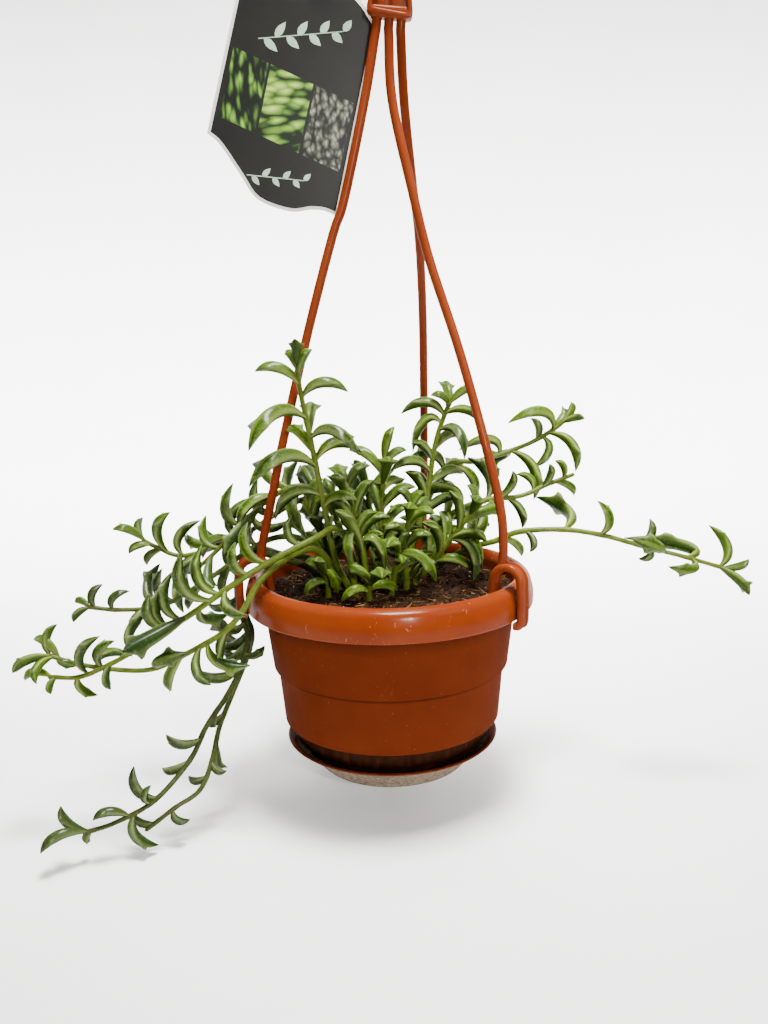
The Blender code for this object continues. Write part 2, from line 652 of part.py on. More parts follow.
def stem_radius(share):
    """The stem is stout at its foot and slim at its growing tip."""
    return 1.5 - 0.65 * share


def stem_path(stem):
    """Points from the root, straight up out of the soil, and then along the route."""
    x, y = stem["foot"]
    root = Vector((x, y, -ROOT_DEPTH))
    collar = Vector((x, y, STEM_STRAIGHT_TO))
    route = [Vector(point) for point in stem["route"]]
    rough = smooth_path([collar, *route], 6)
    lengths = [0.0]
    for here, there in zip(rough, rough[1:]):
        lengths.append(lengths[-1] + (there - here).length)
    count = max(3, round(lengths[-1] / STEM_SEGMENT))
    path = []
    for step in range(count + 1):
        path.append(point_along(rough, lengths, lengths[-1] * step / count))
    return [root, *path]


def point_along(path, lengths, distance):
    for index in range(1, len(path)):
        if lengths[index] >= distance or index == len(path) - 1:
            span = lengths[index] - lengths[index - 1]
            return path[index - 1].lerp(path[index], (distance - lengths[index - 1]) / span)


def point_back_from_tip(path, distance):
    """The point and the stem's direction this far back from its tip."""
    for there, here in zip(reversed(path), reversed(path[:-1])):
        span = (there - here).length
        if distance <= span:
            return there.lerp(here, distance / span), (there - here).normalized()
        distance -= span
    return path[0], (path[1] - path[0]).normalized()


def clock_direction(clock, lean):
    clock, lean = math.radians(clock), math.radians(lean)
    return Vector((math.cos(clock) * math.cos(lean), math.sin(lean), math.sin(clock) * math.cos(lean)))


def leaf_frame(base, along, towards, length, roll):
    """The three control points of the leaf's arched midrib, and the direction of its width."""
    lift = (1.1 * along + towards).normalized()
    if lift.cross(towards).length < 0.25:
        lift = (towards + Vector((0.0, 0.0, 0.6))).normalized()
    knee = base + 0.6 * length * lift
    tip = base + length * towards
    width = (tip - base).cross(knee - base)
    if width.length < 0.01:
        width = Vector((0.0, 1.0, 0.0)).cross(towards)
    width = Matrix.Rotation(roll, 3, towards) @ width.normalized()
    return knee, tip, width


def midrib(base, knee, tip, share):
    point = (1 - share) ** 2 * base + 2 * share * (1 - share) * knee + share ** 2 * tip
    along = (1 - share) * (knee - base) + share * (tip - knee)
    return point, along.normalized()


def leaf_probe(base, along, towards, length, roll):
    """Balls that fill the leaf, to keep it clear of its neighbours: (centre, radius)."""
    knee, tip, width = leaf_frame(base, along, towards, length, roll)
    size = 0.5 + 0.5 * length / FULL_LEAF
    balls = []
    for share, radius in ((0.2, 1.6), (0.35, 2.0), (0.5, 2.3), (0.62, 2.4), (0.75, 2.1), (0.88, 1.4), (1.0, 0.5)):
        balls.append((midrib(base, knee, tip, share)[0], radius * size))
    for share, out, radius in ((0.5, 1.9, 1.3), (0.64, 2.8, 1.3), (0.74, 4.0, 1.0)):
        point = midrib(base, knee, tip, share)[0]
        balls.append((point + width * out * size, radius * size))
        balls.append((point - width * out * size, radius * size))
    return balls


def make_leaf(base, along, towards, length, roll, collection, material):
    """A fleshy arched leaf: slim stalk, keeled body, two pointed fins and a pointed beak."""
    knee, tip, width = leaf_frame(base, along, towards, length, roll)
    size = 0.5 + 0.5 * length / FULL_LEAF
    shape = bmesh.new()
    rings = []
    stations = LEAF_STATIONS if length >= SMALL_LEAF else SMALL_LEAF_STATIONS
    widest = max(station[1] for station in stations)
    for share, half_width, rise, fall in stations:
        point, ahead = midrib(base, knee, tip, share)
        side = (width - ahead * width.dot(ahead)).normalized()
        up = side.cross(ahead)
        if up.dot(knee - (base + tip) / 2) < 0:
            up = -up
        sweep = ahead * FIN_SWEEP * size if half_width == widest else Vector((0.0, 0.0, 0.0))
        flat = point - up * fall * size + sweep
        corners = (flat + side * half_width * size, point + up * rise * size, flat - side * half_width * size)
        rings.append([shape.verts.new(place(corner)) for corner in corners])
    for ring, following in zip(rings, rings[1:]):
        for index in range(3):
            after = (index + 1) % 3
            shape.faces.new((ring[index], ring[after], following[after], following[index]))
    beak = shape.verts.new(place(tip))
    for index in range(3):
        shape.faces.new((rings[-1][index], rings[-1][(index + 1) % 3], beak))
    shape.faces.new(rings[0])
    bmesh.ops.recalc_face_normals(shape, faces=shape.faces)
    bmesh.ops.triangulate(shape, faces=shape.faces)
    mesh = bpy.data.meshes.new("leaf")
    shape.to_mesh(mesh)
    shape.free()
    return add_mesh("leaf", mesh, collection, material)


# Keeping the leaves clear of the pot, the hanger and each other's stems

class Space:
    """What is already placed, as balls with an owner, and the pot as a turned outline."""

    def __init__(self):
        self.centres = np.zeros((0, 3))
        self.radii = np.zeros(0)
        self.owners = np.zeros(0, int)

    def add(self, balls, owner):
        self.centres = np.vstack([self.centres, [tuple(centre) for centre, _ in balls]])
        self.radii = np.concatenate([self.radii, [radius for _, radius in balls]])
        self.owners = np.concatenate([self.owners, [owner] * len(balls)])

    def is_clear(self, balls, owner):
        others = self.owners != owner
        centres, radii = self.centres[others], self.radii[others]
        for centre, radius in balls:
            if pot_gap(centre) < radius + LEAF_CLEARANCE:
                return False
            far = np.linalg.norm(centres - np.array(tuple(centre)), axis=1)
            if (far < radii + radius + LEAF_CLEARANCE).any():
                return False
        return True


def pot_gap(point):
    """Roughly how far a point is from the pot, its rim, its saucer and the soil, in millimetres."""
    radius = math.hypot(point.x, point.y)
    above = point.z - RIM_TOP
    if radius < WALL_TOP_RADIUS:
        return min(point.z - SOIL_CROWN, max(above, WALL_TOP_RADIUS - radius))
    heights = [-SAUCER_DEPTH, -57.0, -26.0, -0.5, 0.0, RIM_TOP]
    radii = [32.0, 44.3, 48.6, 52.0, RIM_RADIUS, RIM_RADIUS]
    return max(above, radius - float(np.interp(point.z, heights, radii)), -SAUCER_DEPTH - point.z)


def balls_along(path, radius):
    balls = []
    for here, there in zip(path, path[1:]):
        count = max(1, math.ceil((there - here).length / 1.5))
        balls += [(here.lerp(there, step / count), radius) for step in range(count + 1)]
    return balls


def clip_balls(name):
    turn = math.radians(CLIPS[name][0])
    outward = Vector((math.cos(turn), math.sin(turn), 0.0))
    across = Vector((-outward.y, outward.x, 0.0))
    balls = []
    for offset in (-2.0, 0.0, 2.0):
        line = [outward * radius + across * offset + Vector((0.0, 0.0, height)) for radius, height in clip_line()]
        balls += balls_along(line, 0.6 * CLIP_THICKNESS)
    return balls


def spiral_leaves(path, filling, rng):
    """Leaves set round the stem in a spiral, leaning to the tip and up to the light."""
    nearest, furthest, spacing, length = filling
    found = []
    back = furthest
    turn = rng.uniform(0.0, 2 * math.pi)
    while back >= nearest:
        _, along = point_back_from_tip(path, back)
        side = along.cross(Vector((0.0, 0.0, 1.0)))
        side = side.normalized() if side.length > 0.2 else Vector((1.0, 0.0, 0.0))
        up = side.cross(along).normalized()
        outward = side * math.cos(turn) + up * math.sin(turn)
        towards = (outward + 0.4 * along + Vector((0.0, 0.0, 0.35))).normalized()
        young = min(1.0, 0.5 + back / 16.0)
        found.append((back, towards, length * young * rng.uniform(0.85, 1.12)))
        turn += GOLDEN_TURN + rng.uniform(-0.2, 0.2)
        back -= spacing * rng.uniform(0.85, 1.15)
    return found


def spiral_lean(index, back, clock, lean, length):
    """A leaf as listed, swung to the front or back in turn round the stem's spiral, its outline kept."""
    lean += SPIRAL_LEAN * math.sin(index * GOLDEN_TURN)
    return back, clock_direction(clock, lean), length / math.cos(math.radians(lean))


def settle_leaves(name, owner, path, space):
    """Every leaf of a stem, each turned or shortened a little where it would touch another piece."""
    stem = STEMS[name]
    rng = random.Random(owner)
    wanted = [spiral_lean(index, *leaf) for index, leaf in enumerate(stem["leaves"])]
    if stem["filling"]:
        wanted += spiral_leaves(path, stem["filling"], rng)
    settled = []
    for back, towards, length in wanted:
        base, along = point_back_from_tip(path, back)
        roll = rng.uniform(-0.35, 0.35)
        side = towards.cross(along)
        side = side.normalized() if side.length > 0.1 else Vector((0.0, 1.0, 0.0))
        for shrink in (1.0, 0.85, 0.7):
            for lean, turn in ((0, 0), (15, 0), (-15, 0), (0, 20), (0, -20), (30, 0), (-30, 0), (0, 45), (0, -45),
                               (25, 30), (25, -30), (-25, 30), (-25, -30)):
                aim = Matrix.Rotation(math.radians(turn), 3, along) @ (
                    Matrix.Rotation(math.radians(lean), 3, side) @ towards)
                balls = leaf_probe(base, along, aim, length * shrink, roll)
                if space.is_clear(balls, owner):
                    break
            else:
                continue
            space.add(balls, owner)
            settled.append((base, along, aim, length * shrink, roll))
            break
        else:
            print(name, "leaf left out", round(back, 1))
    return settled


def make_leafy_stem(name, path, leaves, collection, material):
    radii = [stem_radius(index / (len(path) - 1)) for index in range(len(path))]
    stem = as_mesh(tube(name, path, radii, collection, material, sides_step=0))
    blades = [make_leaf(*leaf, collection, material) for leaf in leaves]
    return fuse(name, stem, blades, material)


def make_soil_holes(paths, cutters, material):
    """A plain six-sided hole in the soil for the foot of each stem."""
    for name, path in paths.items():
        x, y, _ = path[0]
        line = [Vector((x, y, -ROOT_DEPTH - 0.5)), Vector((x, y, SOIL_CROWN + 4.0))]
        hole = tube("hole_" + name, line, [stem_radius(0.0) + HOLE_CLEARANCE] * 2, cutters, material, sides_step=1)
        as_mesh(hole)


def make_plant(collection, material):
    paths = {name: stem_path(stem) for name, stem in STEMS.items()}
    space = Space()
    for name in CLIPS:
        space.add(balls_along(rod_path(name), ROD_RADIUS), -1)
        space.add(clip_balls(name), -1)
    for owner, path in enumerate(paths.values()):
        space.add(balls_along(path, stem_radius(0.3)), owner)
    for owner, (name, path) in enumerate(paths.items()):
        leaves = settle_leaves(name, owner, path, space)
        make_leafy_stem(name, path, leaves, collection, material)
    return paths


def main():
    clear_scene()
    part = new_collection(PART_NAME)
    sockets = new_collection("socket_cutters", hidden=True)
    holes = new_collection("soil_hole_cutters", hidden=True)
    terracotta = new_material("terracotta plastic", (0.45, 0.13, 0.035), 0.42)
    rods = new_material("orange brown plastic", (0.50, 0.13, 0.03), 0.4)
    earth = new_material("potting soil", (0.035, 0.018, 0.009), 0.95)
    green = new_material("succulent leaf", (0.10, 0.19, 0.06), 0.5)
    card = new_material("printed card", (0.02, 0.02, 0.018), 0.45)
    clear_plastic = new_material("clear plastic loop", (0.7, 0.7, 0.68), 0.3)

    make_pot(part, terracotta)
    make_saucer(part, terracotta)
    make_sockets(sockets, rods)
    make_head(part, rods, sockets)
    for name in CLIPS:
        make_strap(name, part, rods)
    make_tag(part, card)
    make_tag_tie(part, clear_plastic)
    paths = make_plant(part, green)
    make_soil_holes(paths, holes, earth)
    make_soil(part, earth, holes)


main()
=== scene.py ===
# A trailing string of dolphins in its hanging plastic pot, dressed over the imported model.
# Lengths in the settings are millimetres from the middle of the pot's lip, at the lip's lower edge, and
# place()
# turns them into metres from the hook's seat. The viewer stands at -Y and +X is to the viewer's right.

import math
import random

import bmesh
import bpy
import numpy as np
from mathutils import Matrix, Vector, noise


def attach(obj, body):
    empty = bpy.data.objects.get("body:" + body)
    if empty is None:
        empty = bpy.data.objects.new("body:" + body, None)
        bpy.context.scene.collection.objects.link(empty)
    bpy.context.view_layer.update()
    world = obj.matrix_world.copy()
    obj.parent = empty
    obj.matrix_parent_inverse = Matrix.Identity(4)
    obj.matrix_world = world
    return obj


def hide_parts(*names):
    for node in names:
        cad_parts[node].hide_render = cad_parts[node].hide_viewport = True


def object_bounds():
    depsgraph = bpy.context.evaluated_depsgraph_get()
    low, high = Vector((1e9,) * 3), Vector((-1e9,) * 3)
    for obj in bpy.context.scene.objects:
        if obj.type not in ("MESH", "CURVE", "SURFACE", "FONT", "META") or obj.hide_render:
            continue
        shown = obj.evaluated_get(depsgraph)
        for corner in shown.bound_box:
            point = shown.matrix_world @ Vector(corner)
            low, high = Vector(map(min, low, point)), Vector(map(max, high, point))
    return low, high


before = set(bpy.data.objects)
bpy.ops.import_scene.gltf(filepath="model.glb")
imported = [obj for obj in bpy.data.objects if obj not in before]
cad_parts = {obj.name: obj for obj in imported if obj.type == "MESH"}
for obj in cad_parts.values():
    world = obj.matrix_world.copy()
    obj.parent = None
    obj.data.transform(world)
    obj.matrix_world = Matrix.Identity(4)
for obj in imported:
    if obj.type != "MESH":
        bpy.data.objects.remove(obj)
cadLow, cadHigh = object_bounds()
print("frame loaded:", len(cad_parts), "nodes")

mm = 0.001
lipBelowSeat = 280.0
potAxisFromSeat = -10.9
upright = Vector((0.0, 0.0, 1.0))


def place(point):
    x, y, z = point
    return Vector((x + potAxisFromSeat, y, z - lipBelowSeat)) * mm


def levelOf(height):
    return place((0, 0, height)).z


def ringPoint(radius, angle, height=0.0):
    # a point at this radius and angle round the pot's axis
    return radius * math.cos(angle), radius * math.sin(angle), height


def addObject(name, data):
    thing = bpy.data.objects.new(name, data)
    bpy.context.scene.collection.objects.link(thing)
    return thing


# Nodes and materials

def linear(hexColour):
    # sRGB hex to the linear colour that the shaders take
    parts = [int(hexColour[i:i + 2], 16) / 255 for i in (1, 3, 5)]
    return (*[c / 12.92 if c <= 0.04045 else ((c + 0.055) / 1.055) ** 2.4 for c in parts], 1.0)


def feed(node, inputs):
    # a list feeds a node's inputs in order, and a dictionary by name: each from another node's first output,
    # from an output socket, or with a plain value, where a hex colour is turned to linear
    for name, value in inputs.items() if isinstance(inputs, dict) else enumerate(inputs):
        if isinstance(value, bpy.types.Node):
            value = value.outputs[0]
        if isinstance(value, bpy.types.NodeSocket):
            node.id_data.links.new(value, node.inputs[name])
        else:
            node.inputs[name].default_value = linear(value) if str(value).startswith("#") else value


def addNode(tree, kind, inputs=(), stops=(), **settings):
    node = tree.nodes.new(kind)
    for name, value in settings.items():
        setattr(node, name, value)
    feed(node, inputs)
    for _ in stops[2:]:
        node.color_ramp.elements.new(1.0)
    for index, (position, colour) in enumerate(stops):
        node.color_ramp.elements[index].position = position
        node.color_ramp.elements[index].color = linear(colour)
    return node


def newMaterial(name, plain):
    # a material, its tree, its Principled shader with the plain values set on it, and the Object coordinates
    material = bpy.data.materials.new(name)
    material.use_nodes = True
    shader = material.node_tree.nodes["Principled BSDF"]
    feed(shader, plain)
    return material, material.node_tree, shader, addNode(material.node_tree,
                                                         "ShaderNodeTexCoord").outputs["Object"]


def perMm(size):
    # a pattern scale whose features are this many millimetres across
    return 1.0 / (size * mm)


def makeMouldedPlastic(name, colours, gloss, sheen, worn, footShadeAndStain=None, limed=None, paintedShadeBelow=()):
    # injection-moulded polypropylene: even colour with a soft sheen, fine pale scratches where it is handled,
    # and on the pot painted shade with damp staining on its recessed foot and painted shade below its step
    # and lip, or dried lime on the saucer
    material, tree, shader, coords = newMaterial(name, {
        "IOR": 1.49, "Specular IOR Level": 0.0, "Coat Weight": sheen, "Coat IOR": 1.6,
        "Coat Roughness": gloss})
    height = addNode(tree, "ShaderNodeSeparateXYZ", [coords]).outputs["Z"]
    # clouds in the colour, bends in the scratches, patches of scratches, and orange peel
    cloud, bend, patch, peel = [
        addNode(tree, "ShaderNodeTexNoise", {"Vector": coords, "Scale": perMm(size), "Detail": detail})
        for size, detail in ((28, 3.0), (4, 1.0), (11, 1.0), (0.9, 2.0))]
    colour = addNode(tree, "ShaderNodeValToRGB", [cloud], [(0.3, colours[0]), (0.72, colours[1])])
    rough = addNode(tree, "ShaderNodeMapRange", [cloud, 0.0, 1.0, gloss - 0.05, gloss + 0.1])
    # scratches about 0.2 mm wide and 2 mm long, bent and faint, in a few patches
    bent = addNode(tree, "ShaderNodeVectorMath", [bend.outputs["Color"], (0.006, 0.006, 0.006), coords],
                   operation="MULTIPLY_ADD")
    leant = addNode(tree, "ShaderNodeMapping",
                    {"Vector": bent, "Rotation": (0.5, 1.0, 0.4), "Scale": (1.0, 1.0, 0.13)})
    lines = addNode(tree, "ShaderNodeTexVoronoi", {"Vector": leant, "Scale": perMm(1.7)})
    hair = addNode(tree, "ShaderNodeMapRange", [lines, 0.07, 0.2, 1.0, 0.0])
    where = addNode(tree, "ShaderNodeMapRange", [patch, 0.5, 0.64, 0.0, 1.0])
    scuff = addNode(tree, "ShaderNodeMath", [hair, where], operation="MULTIPLY")
    faint = addNode(tree, "ShaderNodeMath", [scuff, worn], operation="MULTIPLY")
    # dust specks, about 0.3 mm
    speck = addNode(tree, "ShaderNodeTexVoronoi", {"Vector": coords, "Scale": perMm(2.6)})
    dot = addNode(tree, "ShaderNodeMapRange", [speck, 0.05, 0.12, 0.25, 0.0])
    draw = addNode(tree, "ShaderNodeSeparateXYZ", [speck.outputs["Color"]])
    kept = addNode(tree, "ShaderNodeMapRange", [draw, 0.6, 1.0, 0.0, 1.0])
    dust = addNode(tree, "ShaderNodeMath", [dot, kept], operation="MULTIPLY")
    layers = [(faint, "#c58a68"), (dust, "#b06a42")]
    for level, reach, strength in paintedShadeBelow:
        # painted shade just below a step or the lip, where the overhang shades the wall, fading over this
        # reach
        fade = addNode(tree, "ShaderNodeMapRange", [height, levelOf(level - reach), levelOf(level), 0.0,
                                                    strength])
        most = addNode(tree, "ShaderNodeMath", [fade, 0.85], operation="MINIMUM")
        below = addNode(tree, "ShaderNodeMath", [height, levelOf(level)], operation="LESS_THAN")
        layers.append((addNode(tree, "ShaderNodeMath", [most, below], operation="MULTIPLY"), "#220b03"))
    if footShadeAndStain:
        # painted shade on the recessed foot together with damp soil stain there, with runs about 1.5 mm wide
        # down the wall
        drawnDown = addNode(tree, "ShaderNodeVectorMath", [coords, (1.0, 1.0, 0.12)], operation="MULTIPLY")
        runs = addNode(tree, "ShaderNodeTexNoise", {"Vector": drawnDown, "Scale": perMm(2.2), "Detail": 3.0})
        ragged = addNode(tree, "ShaderNodeMath", [runs, 1.2 * mm, height], operation="MULTIPLY_ADD")
        footShadeAndDamp = addNode(tree, "ShaderNodeMapRange", [ragged, *map(levelOf, footShadeAndStain), 1.0, 0.0])
        layers.append((footShadeAndDamp, addNode(tree, "ShaderNodeValToRGB", [runs],
                                    [(0.35, "#1d0c05"), (0.62, "#291206"), (0.85, "#421e0b")])))
    if limed:
        # a dried film of lime on the lower outside, thin at its upper edge, with dark soil specks of 0.3 mm
        blotch = addNode(tree, "ShaderNodeTexNoise",
                         {"Vector": coords, "Scale": perMm(1.5), "Detail": 5.0, "Roughness": 0.7})
        edge = addNode(tree, "ShaderNodeMath", [blotch, 2.2 * mm, height], operation="MULTIPLY_ADD")
        film = addNode(tree, "ShaderNodeMapRange", [edge, *map(levelOf, limed), 0.93, 0.0])
        layers.append((film, addNode(tree, "ShaderNodeValToRGB", [blotch],
                                     [(0.3, "#2a1c12"), (0.41, "#54483a"), (0.55, "#6d6355"),
                                      (0.75, "#857c6e")])))
        rough = addNode(tree, "ShaderNodeMix", {0: film, 2: rough, 3: 0.8})
    for mask, tint in layers:
        colour = addNode(tree, "ShaderNodeMix", {0: mask, 6: colour, 7: tint}, data_type="RGBA").outputs[2]
    relief = addNode(tree, "ShaderNodeMath", [scuff, -0.6, peel], operation="MULTIPLY_ADD")
    bump = addNode(tree, "ShaderNodeBump", {"Height": relief, "Strength": 0.12, "Distance": 0.1 * mm})
    feed(shader, {"Base Color": colour, "Roughness": rough, "Normal": bump})
    return material


def makeLeafFlesh():
    # a grown succulent leaf under a thin waxy bloom: streaked grey-green flesh, a pale line along each edge,
    # a yellow-green stalk, and a soft sheen
    material, tree, shader, coords = newMaterial("waxy succulent leaf", {
        "IOR": 1.42, "Specular IOR Level": 0.0, "Coat Weight": 0.22, "Coat Roughness": 0.24,
        "Subsurface Weight": 0.06, "Subsurface Scale": 1.5 * mm, "Subsurface Radius": (0.5, 1.0, 0.25)})
    form = addNode(tree, "ShaderNodeAttribute", attribute_name="leafForm").outputs["Vector"]
    edge, side, shade, youth, stemShare = [
        addNode(tree, "ShaderNodeAttribute", attribute_name=name).outputs["Fac"]
        for name in ("leafEdge", "leafSide", "leafShade", "youth", "stemShare")]
    share = addNode(tree, "ShaderNodeSeparateXYZ", [form]).outputs["Z"]
    colour = addNode(tree, "ShaderNodeValToRGB", [share], [
        (0.0, "#7c8632"), (0.2, "#62742a"), (0.42, "#4a6522"), (0.68, "#3a5619"), (1.0, "#263d12")])
    # blotches of about 4 mm, and mottling of a millimetre, drawn a little coarser than it is so that it shows
    blotch = addNode(tree, "ShaderNodeTexNoise", {"Vector": coords, "Scale": perMm(4.5), "Detail": 3.0})
    mottle = addNode(tree, "ShaderNodeTexNoise",
                     {"Vector": coords, "Scale": perMm(1.2), "Detail": 4.0, "Roughness": 0.65})
    # streaks along the leaf, about a millimetre apart, from the leaf's own shape
    lengthwise = addNode(tree, "ShaderNodeVectorMath", [form, (850.0, 850.0, 1.6)], operation="MULTIPLY")
    ownPlace = addNode(tree, "ShaderNodeVectorMath", [shade, (17.0, 23.0, 31.0), lengthwise],
                       operation="MULTIPLY_ADD")
    streak = addNode(tree, "ShaderNodeTexNoise",
                     {"Vector": ownPlace, "Scale": 1.0, "Detail": 3.0, "Roughness": 0.55})
    # the pale line along both edges fades out towards the beak
    fade = addNode(tree, "ShaderNodeMapRange", [share, 0.2, 1.0, 0.85, 0.35])
    margin = addNode(tree, "ShaderNodeMath", [edge, fade], operation="MULTIPLY")
    # what draws a layer, where it starts and is full, how strong it is, its colour and how it fades in
    layers = [
        (blotch, 0.4, 0.68, 0.5, "#284315", "LINEAR"),  # darker blotches
        (streak, 0.5, 0.7, 0.55, "#688a34", "LINEAR"),  # pale streaks
        (streak, 0.46, 0.28, 0.65, "#1d3512", "LINEAR"),  # dim streaks
        (mottle, 0.52, 0.68, 0.62, "#809c4a", "LINEAR"),  # flecks
        (side, 0.82, 1.0, 0.65, "#8aa244", "SMOOTHSTEP"),  # painted highlight along the back
        (side, -0.1, -0.8, 0.6, "#1f3a15", "SMOOTHSTEP"),  # painted shade on the belly
        (margin, 0.0, 1.0, 1.0, "#b6c474", "LINEAR"),
        (youth, 0.0, 1.0, 0.5, "#64812a", "LINEAR"),  # young growth is yellower
        (stemShare, 0.8, 1.0, 0.3, "#7a5a2c", "LINEAR"),  # the last of the stem is a little red
    ]
    for source, start, full, strength, tint, fadeIn in layers:
        mask = addNode(tree, "ShaderNodeMapRange", [source, start, full, 0.0, strength],
                       interpolation_type=fadeIn)
        colour = addNode(tree, "ShaderNodeMix", {0: mask, 6: colour, 7: tint}, data_type="RGBA").outputs[2]
    value = addNode(tree, "ShaderNodeMapRange", [shade, 0.0, 1.0, 0.24, 0.64])
    purity = addNode(tree, "ShaderNodeMapRange", [shade, 0.0, 1.0, 0.88, 1.14])
    toned = addNode(tree, "ShaderNodeHueSaturation", {"Value": value, "Saturation": purity, "Color": colour})
    rough = addNode(tree, "ShaderNodeMapRange", [mottle, 0.0, 1.0, 0.26, 0.46])
    relief = addNode(tree, "ShaderNodeMath", [streak, 0.8, mottle], operation="MULTIPLY_ADD")
    bump = addNode(tree, "ShaderNodeBump", {"Height": relief, "Strength": 0.85, "Distance": 0.5 * mm})
    feed(shader, {"Base Color": toned, "Roughness": rough, "Normal": bump})
    return material


def makePottingSoil():
    # moist peat-based potting mix, as poured and watered: near-black crumbs, tan fibres and pale grit, all
    # matt
    material, tree, shader, coords = newMaterial("moist potting mix", {
        "Roughness": 0.92, "IOR": 1.4, "Specular IOR Level": 0.1})
    grain, tone = [addNode(tree, "ShaderNodeAttribute", attribute_name=name).outputs["Fac"]
                   for name in ("grain", "tone")]
    patch = addNode(tree, "ShaderNodeTexNoise",
                    {"Vector": coords, "Scale": perMm(5), "Detail": 6.0, "Roughness": 0.7})
    colour = addNode(tree, "ShaderNodeValToRGB", [patch], [(0.32, "#0d0603"), (0.5, "#1c0f07"),
                                                           (0.68, "#33200f")])
    strewn = [
        (0.5, [(0.0, "#100804"), (0.5, "#241407"), (0.86, "#3d2714"), (1.0, "#64472a")]),  # crumbs
        (1.5, [(0.0, "#2c1a0c"), (0.6, "#4e3319"), (1.0, "#8a683e")]),  # fibres
        (2.5, [(0.0, "#5c5044"), (1.0, "#a89c8c")]),  # grit
    ]
    for above, stops in strewn:
        mask = addNode(tree, "ShaderNodeMath", [grain, above], operation="GREATER_THAN")
        tint = addNode(tree, "ShaderNodeValToRGB", [tone], stops)
        colour = addNode(tree, "ShaderNodeMix", {0: mask, 6: colour, 7: tint}, data_type="RGBA").outputs[2]
    bump = addNode(tree, "ShaderNodeBump", {"Height": patch, "Strength": 0.6, "Distance": 0.5 * mm})
    feed(shader, {"Base Color": colour, "Normal": bump})
    return material


# the two colours, gloss (roughness), sheen (coat) and wear of each plastic
# on the pot, the dark band on its foot is painted shade with damp staining, and the darkening below its step
# and lip is painted shade
potPlastic = makeMouldedPlastic("moulded terracotta polypropylene", ("#4a1905", "#531f07"), 0.4, 0.03, 0.05,
                                footShadeAndStain=(-50.2, -48.4), paintedShadeBelow=((-25.6, 1.9, 1.6), (0.6, 8.5, 0.8)))
# the rim is the pot's own plastic with a glossier coat and lighter colours: the lighter colours are painted
# light on the top of the pot
rimPlasticPaintedLight = makeMouldedPlastic("rim polypropylene, rubbed glossy by handling", ("#65250b", "#702e10"),
                                0.19, 0.14, 0.3)
saucerPlastic = makeMouldedPlastic("moulded saucer polypropylene, limed", ("#4e1c09", "#59250e"), 0.3, 0.08,
                                   0.1,
                                   limed=(-57.6, -57.0))
hangerPlastic = makeMouldedPlastic("moulded orange brown polypropylene", ("#67270e", "#733014"), 0.25, 0.14,
                                   0.12)
leafFlesh = makeLeafFlesh()
pottingSoil = makePottingSoil()
print("materials made")


# Shared shapes

def finish(name, mesh, node, materials):
    # links a finished piece at the origin and puts it in its node's place
    for material in materials:
        if material.name not in mesh.materials:
            mesh.materials.append(material)
    mesh.name = name
    piece = addObject(name, mesh)
    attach(piece, "root")
    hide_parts(node)
    return piece


def meshOf(corners, faces, edges=()):
    mesh = bpy.data.meshes.new("shape")
    mesh.from_pydata([tuple(corner) for corner in corners], list(edges), [tuple(face) for face in faces])
    return mesh


def meshFrom(shape):
    mesh = bpy.data.meshes.new("shape")
    shape.to_mesh(mesh)
    shape.free()
    return mesh


def plainMesh(holder):
    # the evaluated shape of an object that isn't needed after it
    bpy.context.view_layer.update()
    mesh = bpy.data.meshes.new_from_object(holder.evaluated_get(bpy.context.evaluated_depsgraph_get()))
    bpy.data.objects.remove(holder)
    return mesh


def closeAndSmooth(mesh, angle=40):
    # welds, turns every face outwards, and smooths all but the sharp edges
    shape = bmesh.new()
    shape.from_mesh(mesh)
    bmesh.ops.remove_doubles(shape, verts=shape.verts, dist=0.004 * mm)
    bmesh.ops.recalc_face_normals(shape, faces=shape.faces)
    shape.to_mesh(mesh)
    shape.free()
    mesh.shade_smooth()
    mesh.set_sharp_from_angle(angle=math.radians(angle))
    return mesh


def joined(meshes, slots=None):
    # one mesh of several, each with its own material slot where slots are given
    shape = bmesh.new()
    for mesh, slot in zip(meshes, slots or [0] * len(meshes)):
        start = len(shape.faces)
        shape.from_mesh(mesh)
        shape.faces.ensure_lookup_table()
        for face in shape.faces[start:]:
            face.material_index = slot
    return meshFrom(shape)


def ringFaces(rings):
    # the faces between rings of point numbers; a pole is one point's number over and over
    faces = []
    for ring, following in zip(rings, rings[1:]):
        for here in range(len(ring)):
            after = (here + 1) % len(ring)
            faces.append(list(dict.fromkeys((ring[here], ring[after], following[after], following[here]))))
    return faces


def evenRings(count, around):
    return [range(ring * around, (ring + 1) * around) for ring in range(count)]


def roundedLine(points, steps=4):
    # a line of (x, y, corner radius) whose corners are rounded to their radius
    line = []
    for index, (x, y, radius) in enumerate(points):
        here = Vector((x, y))
        if radius <= 0 or index in (0, len(points) - 1):
            line.append((x, y))
            continue
        before = Vector(points[index - 1][:2]) - here
        after = Vector(points[index + 1][:2]) - here
        reach = min(radius, 0.45 * before.length, 0.45 * after.length)
        start = here + before.normalized() * reach
        end = here + after.normalized() * reach
        for step in range(steps + 1):
            t = step / steps
            line.append(tuple((1 - t) ** 2 * start + 2 * t * (1 - t) * here + t * t * end))
    return line


def turned(line, steps):
    # a lathe-turned wall: the line of (radius, height) runs from the inside, over the rim and down the
    # outside
    points, rings = [], []
    for radius, height in line:
        start = len(points)
        if radius <= 0:
            rings.append([start] * steps)
            points.append(place((0.0, 0.0, height)))
            continue
        rings.append(range(start, start + steps))
        points += [place(ringPoint(radius, 2 * math.pi * step / steps, height)) for step in range(steps)]
    return meshOf(points, ringFaces(rings))


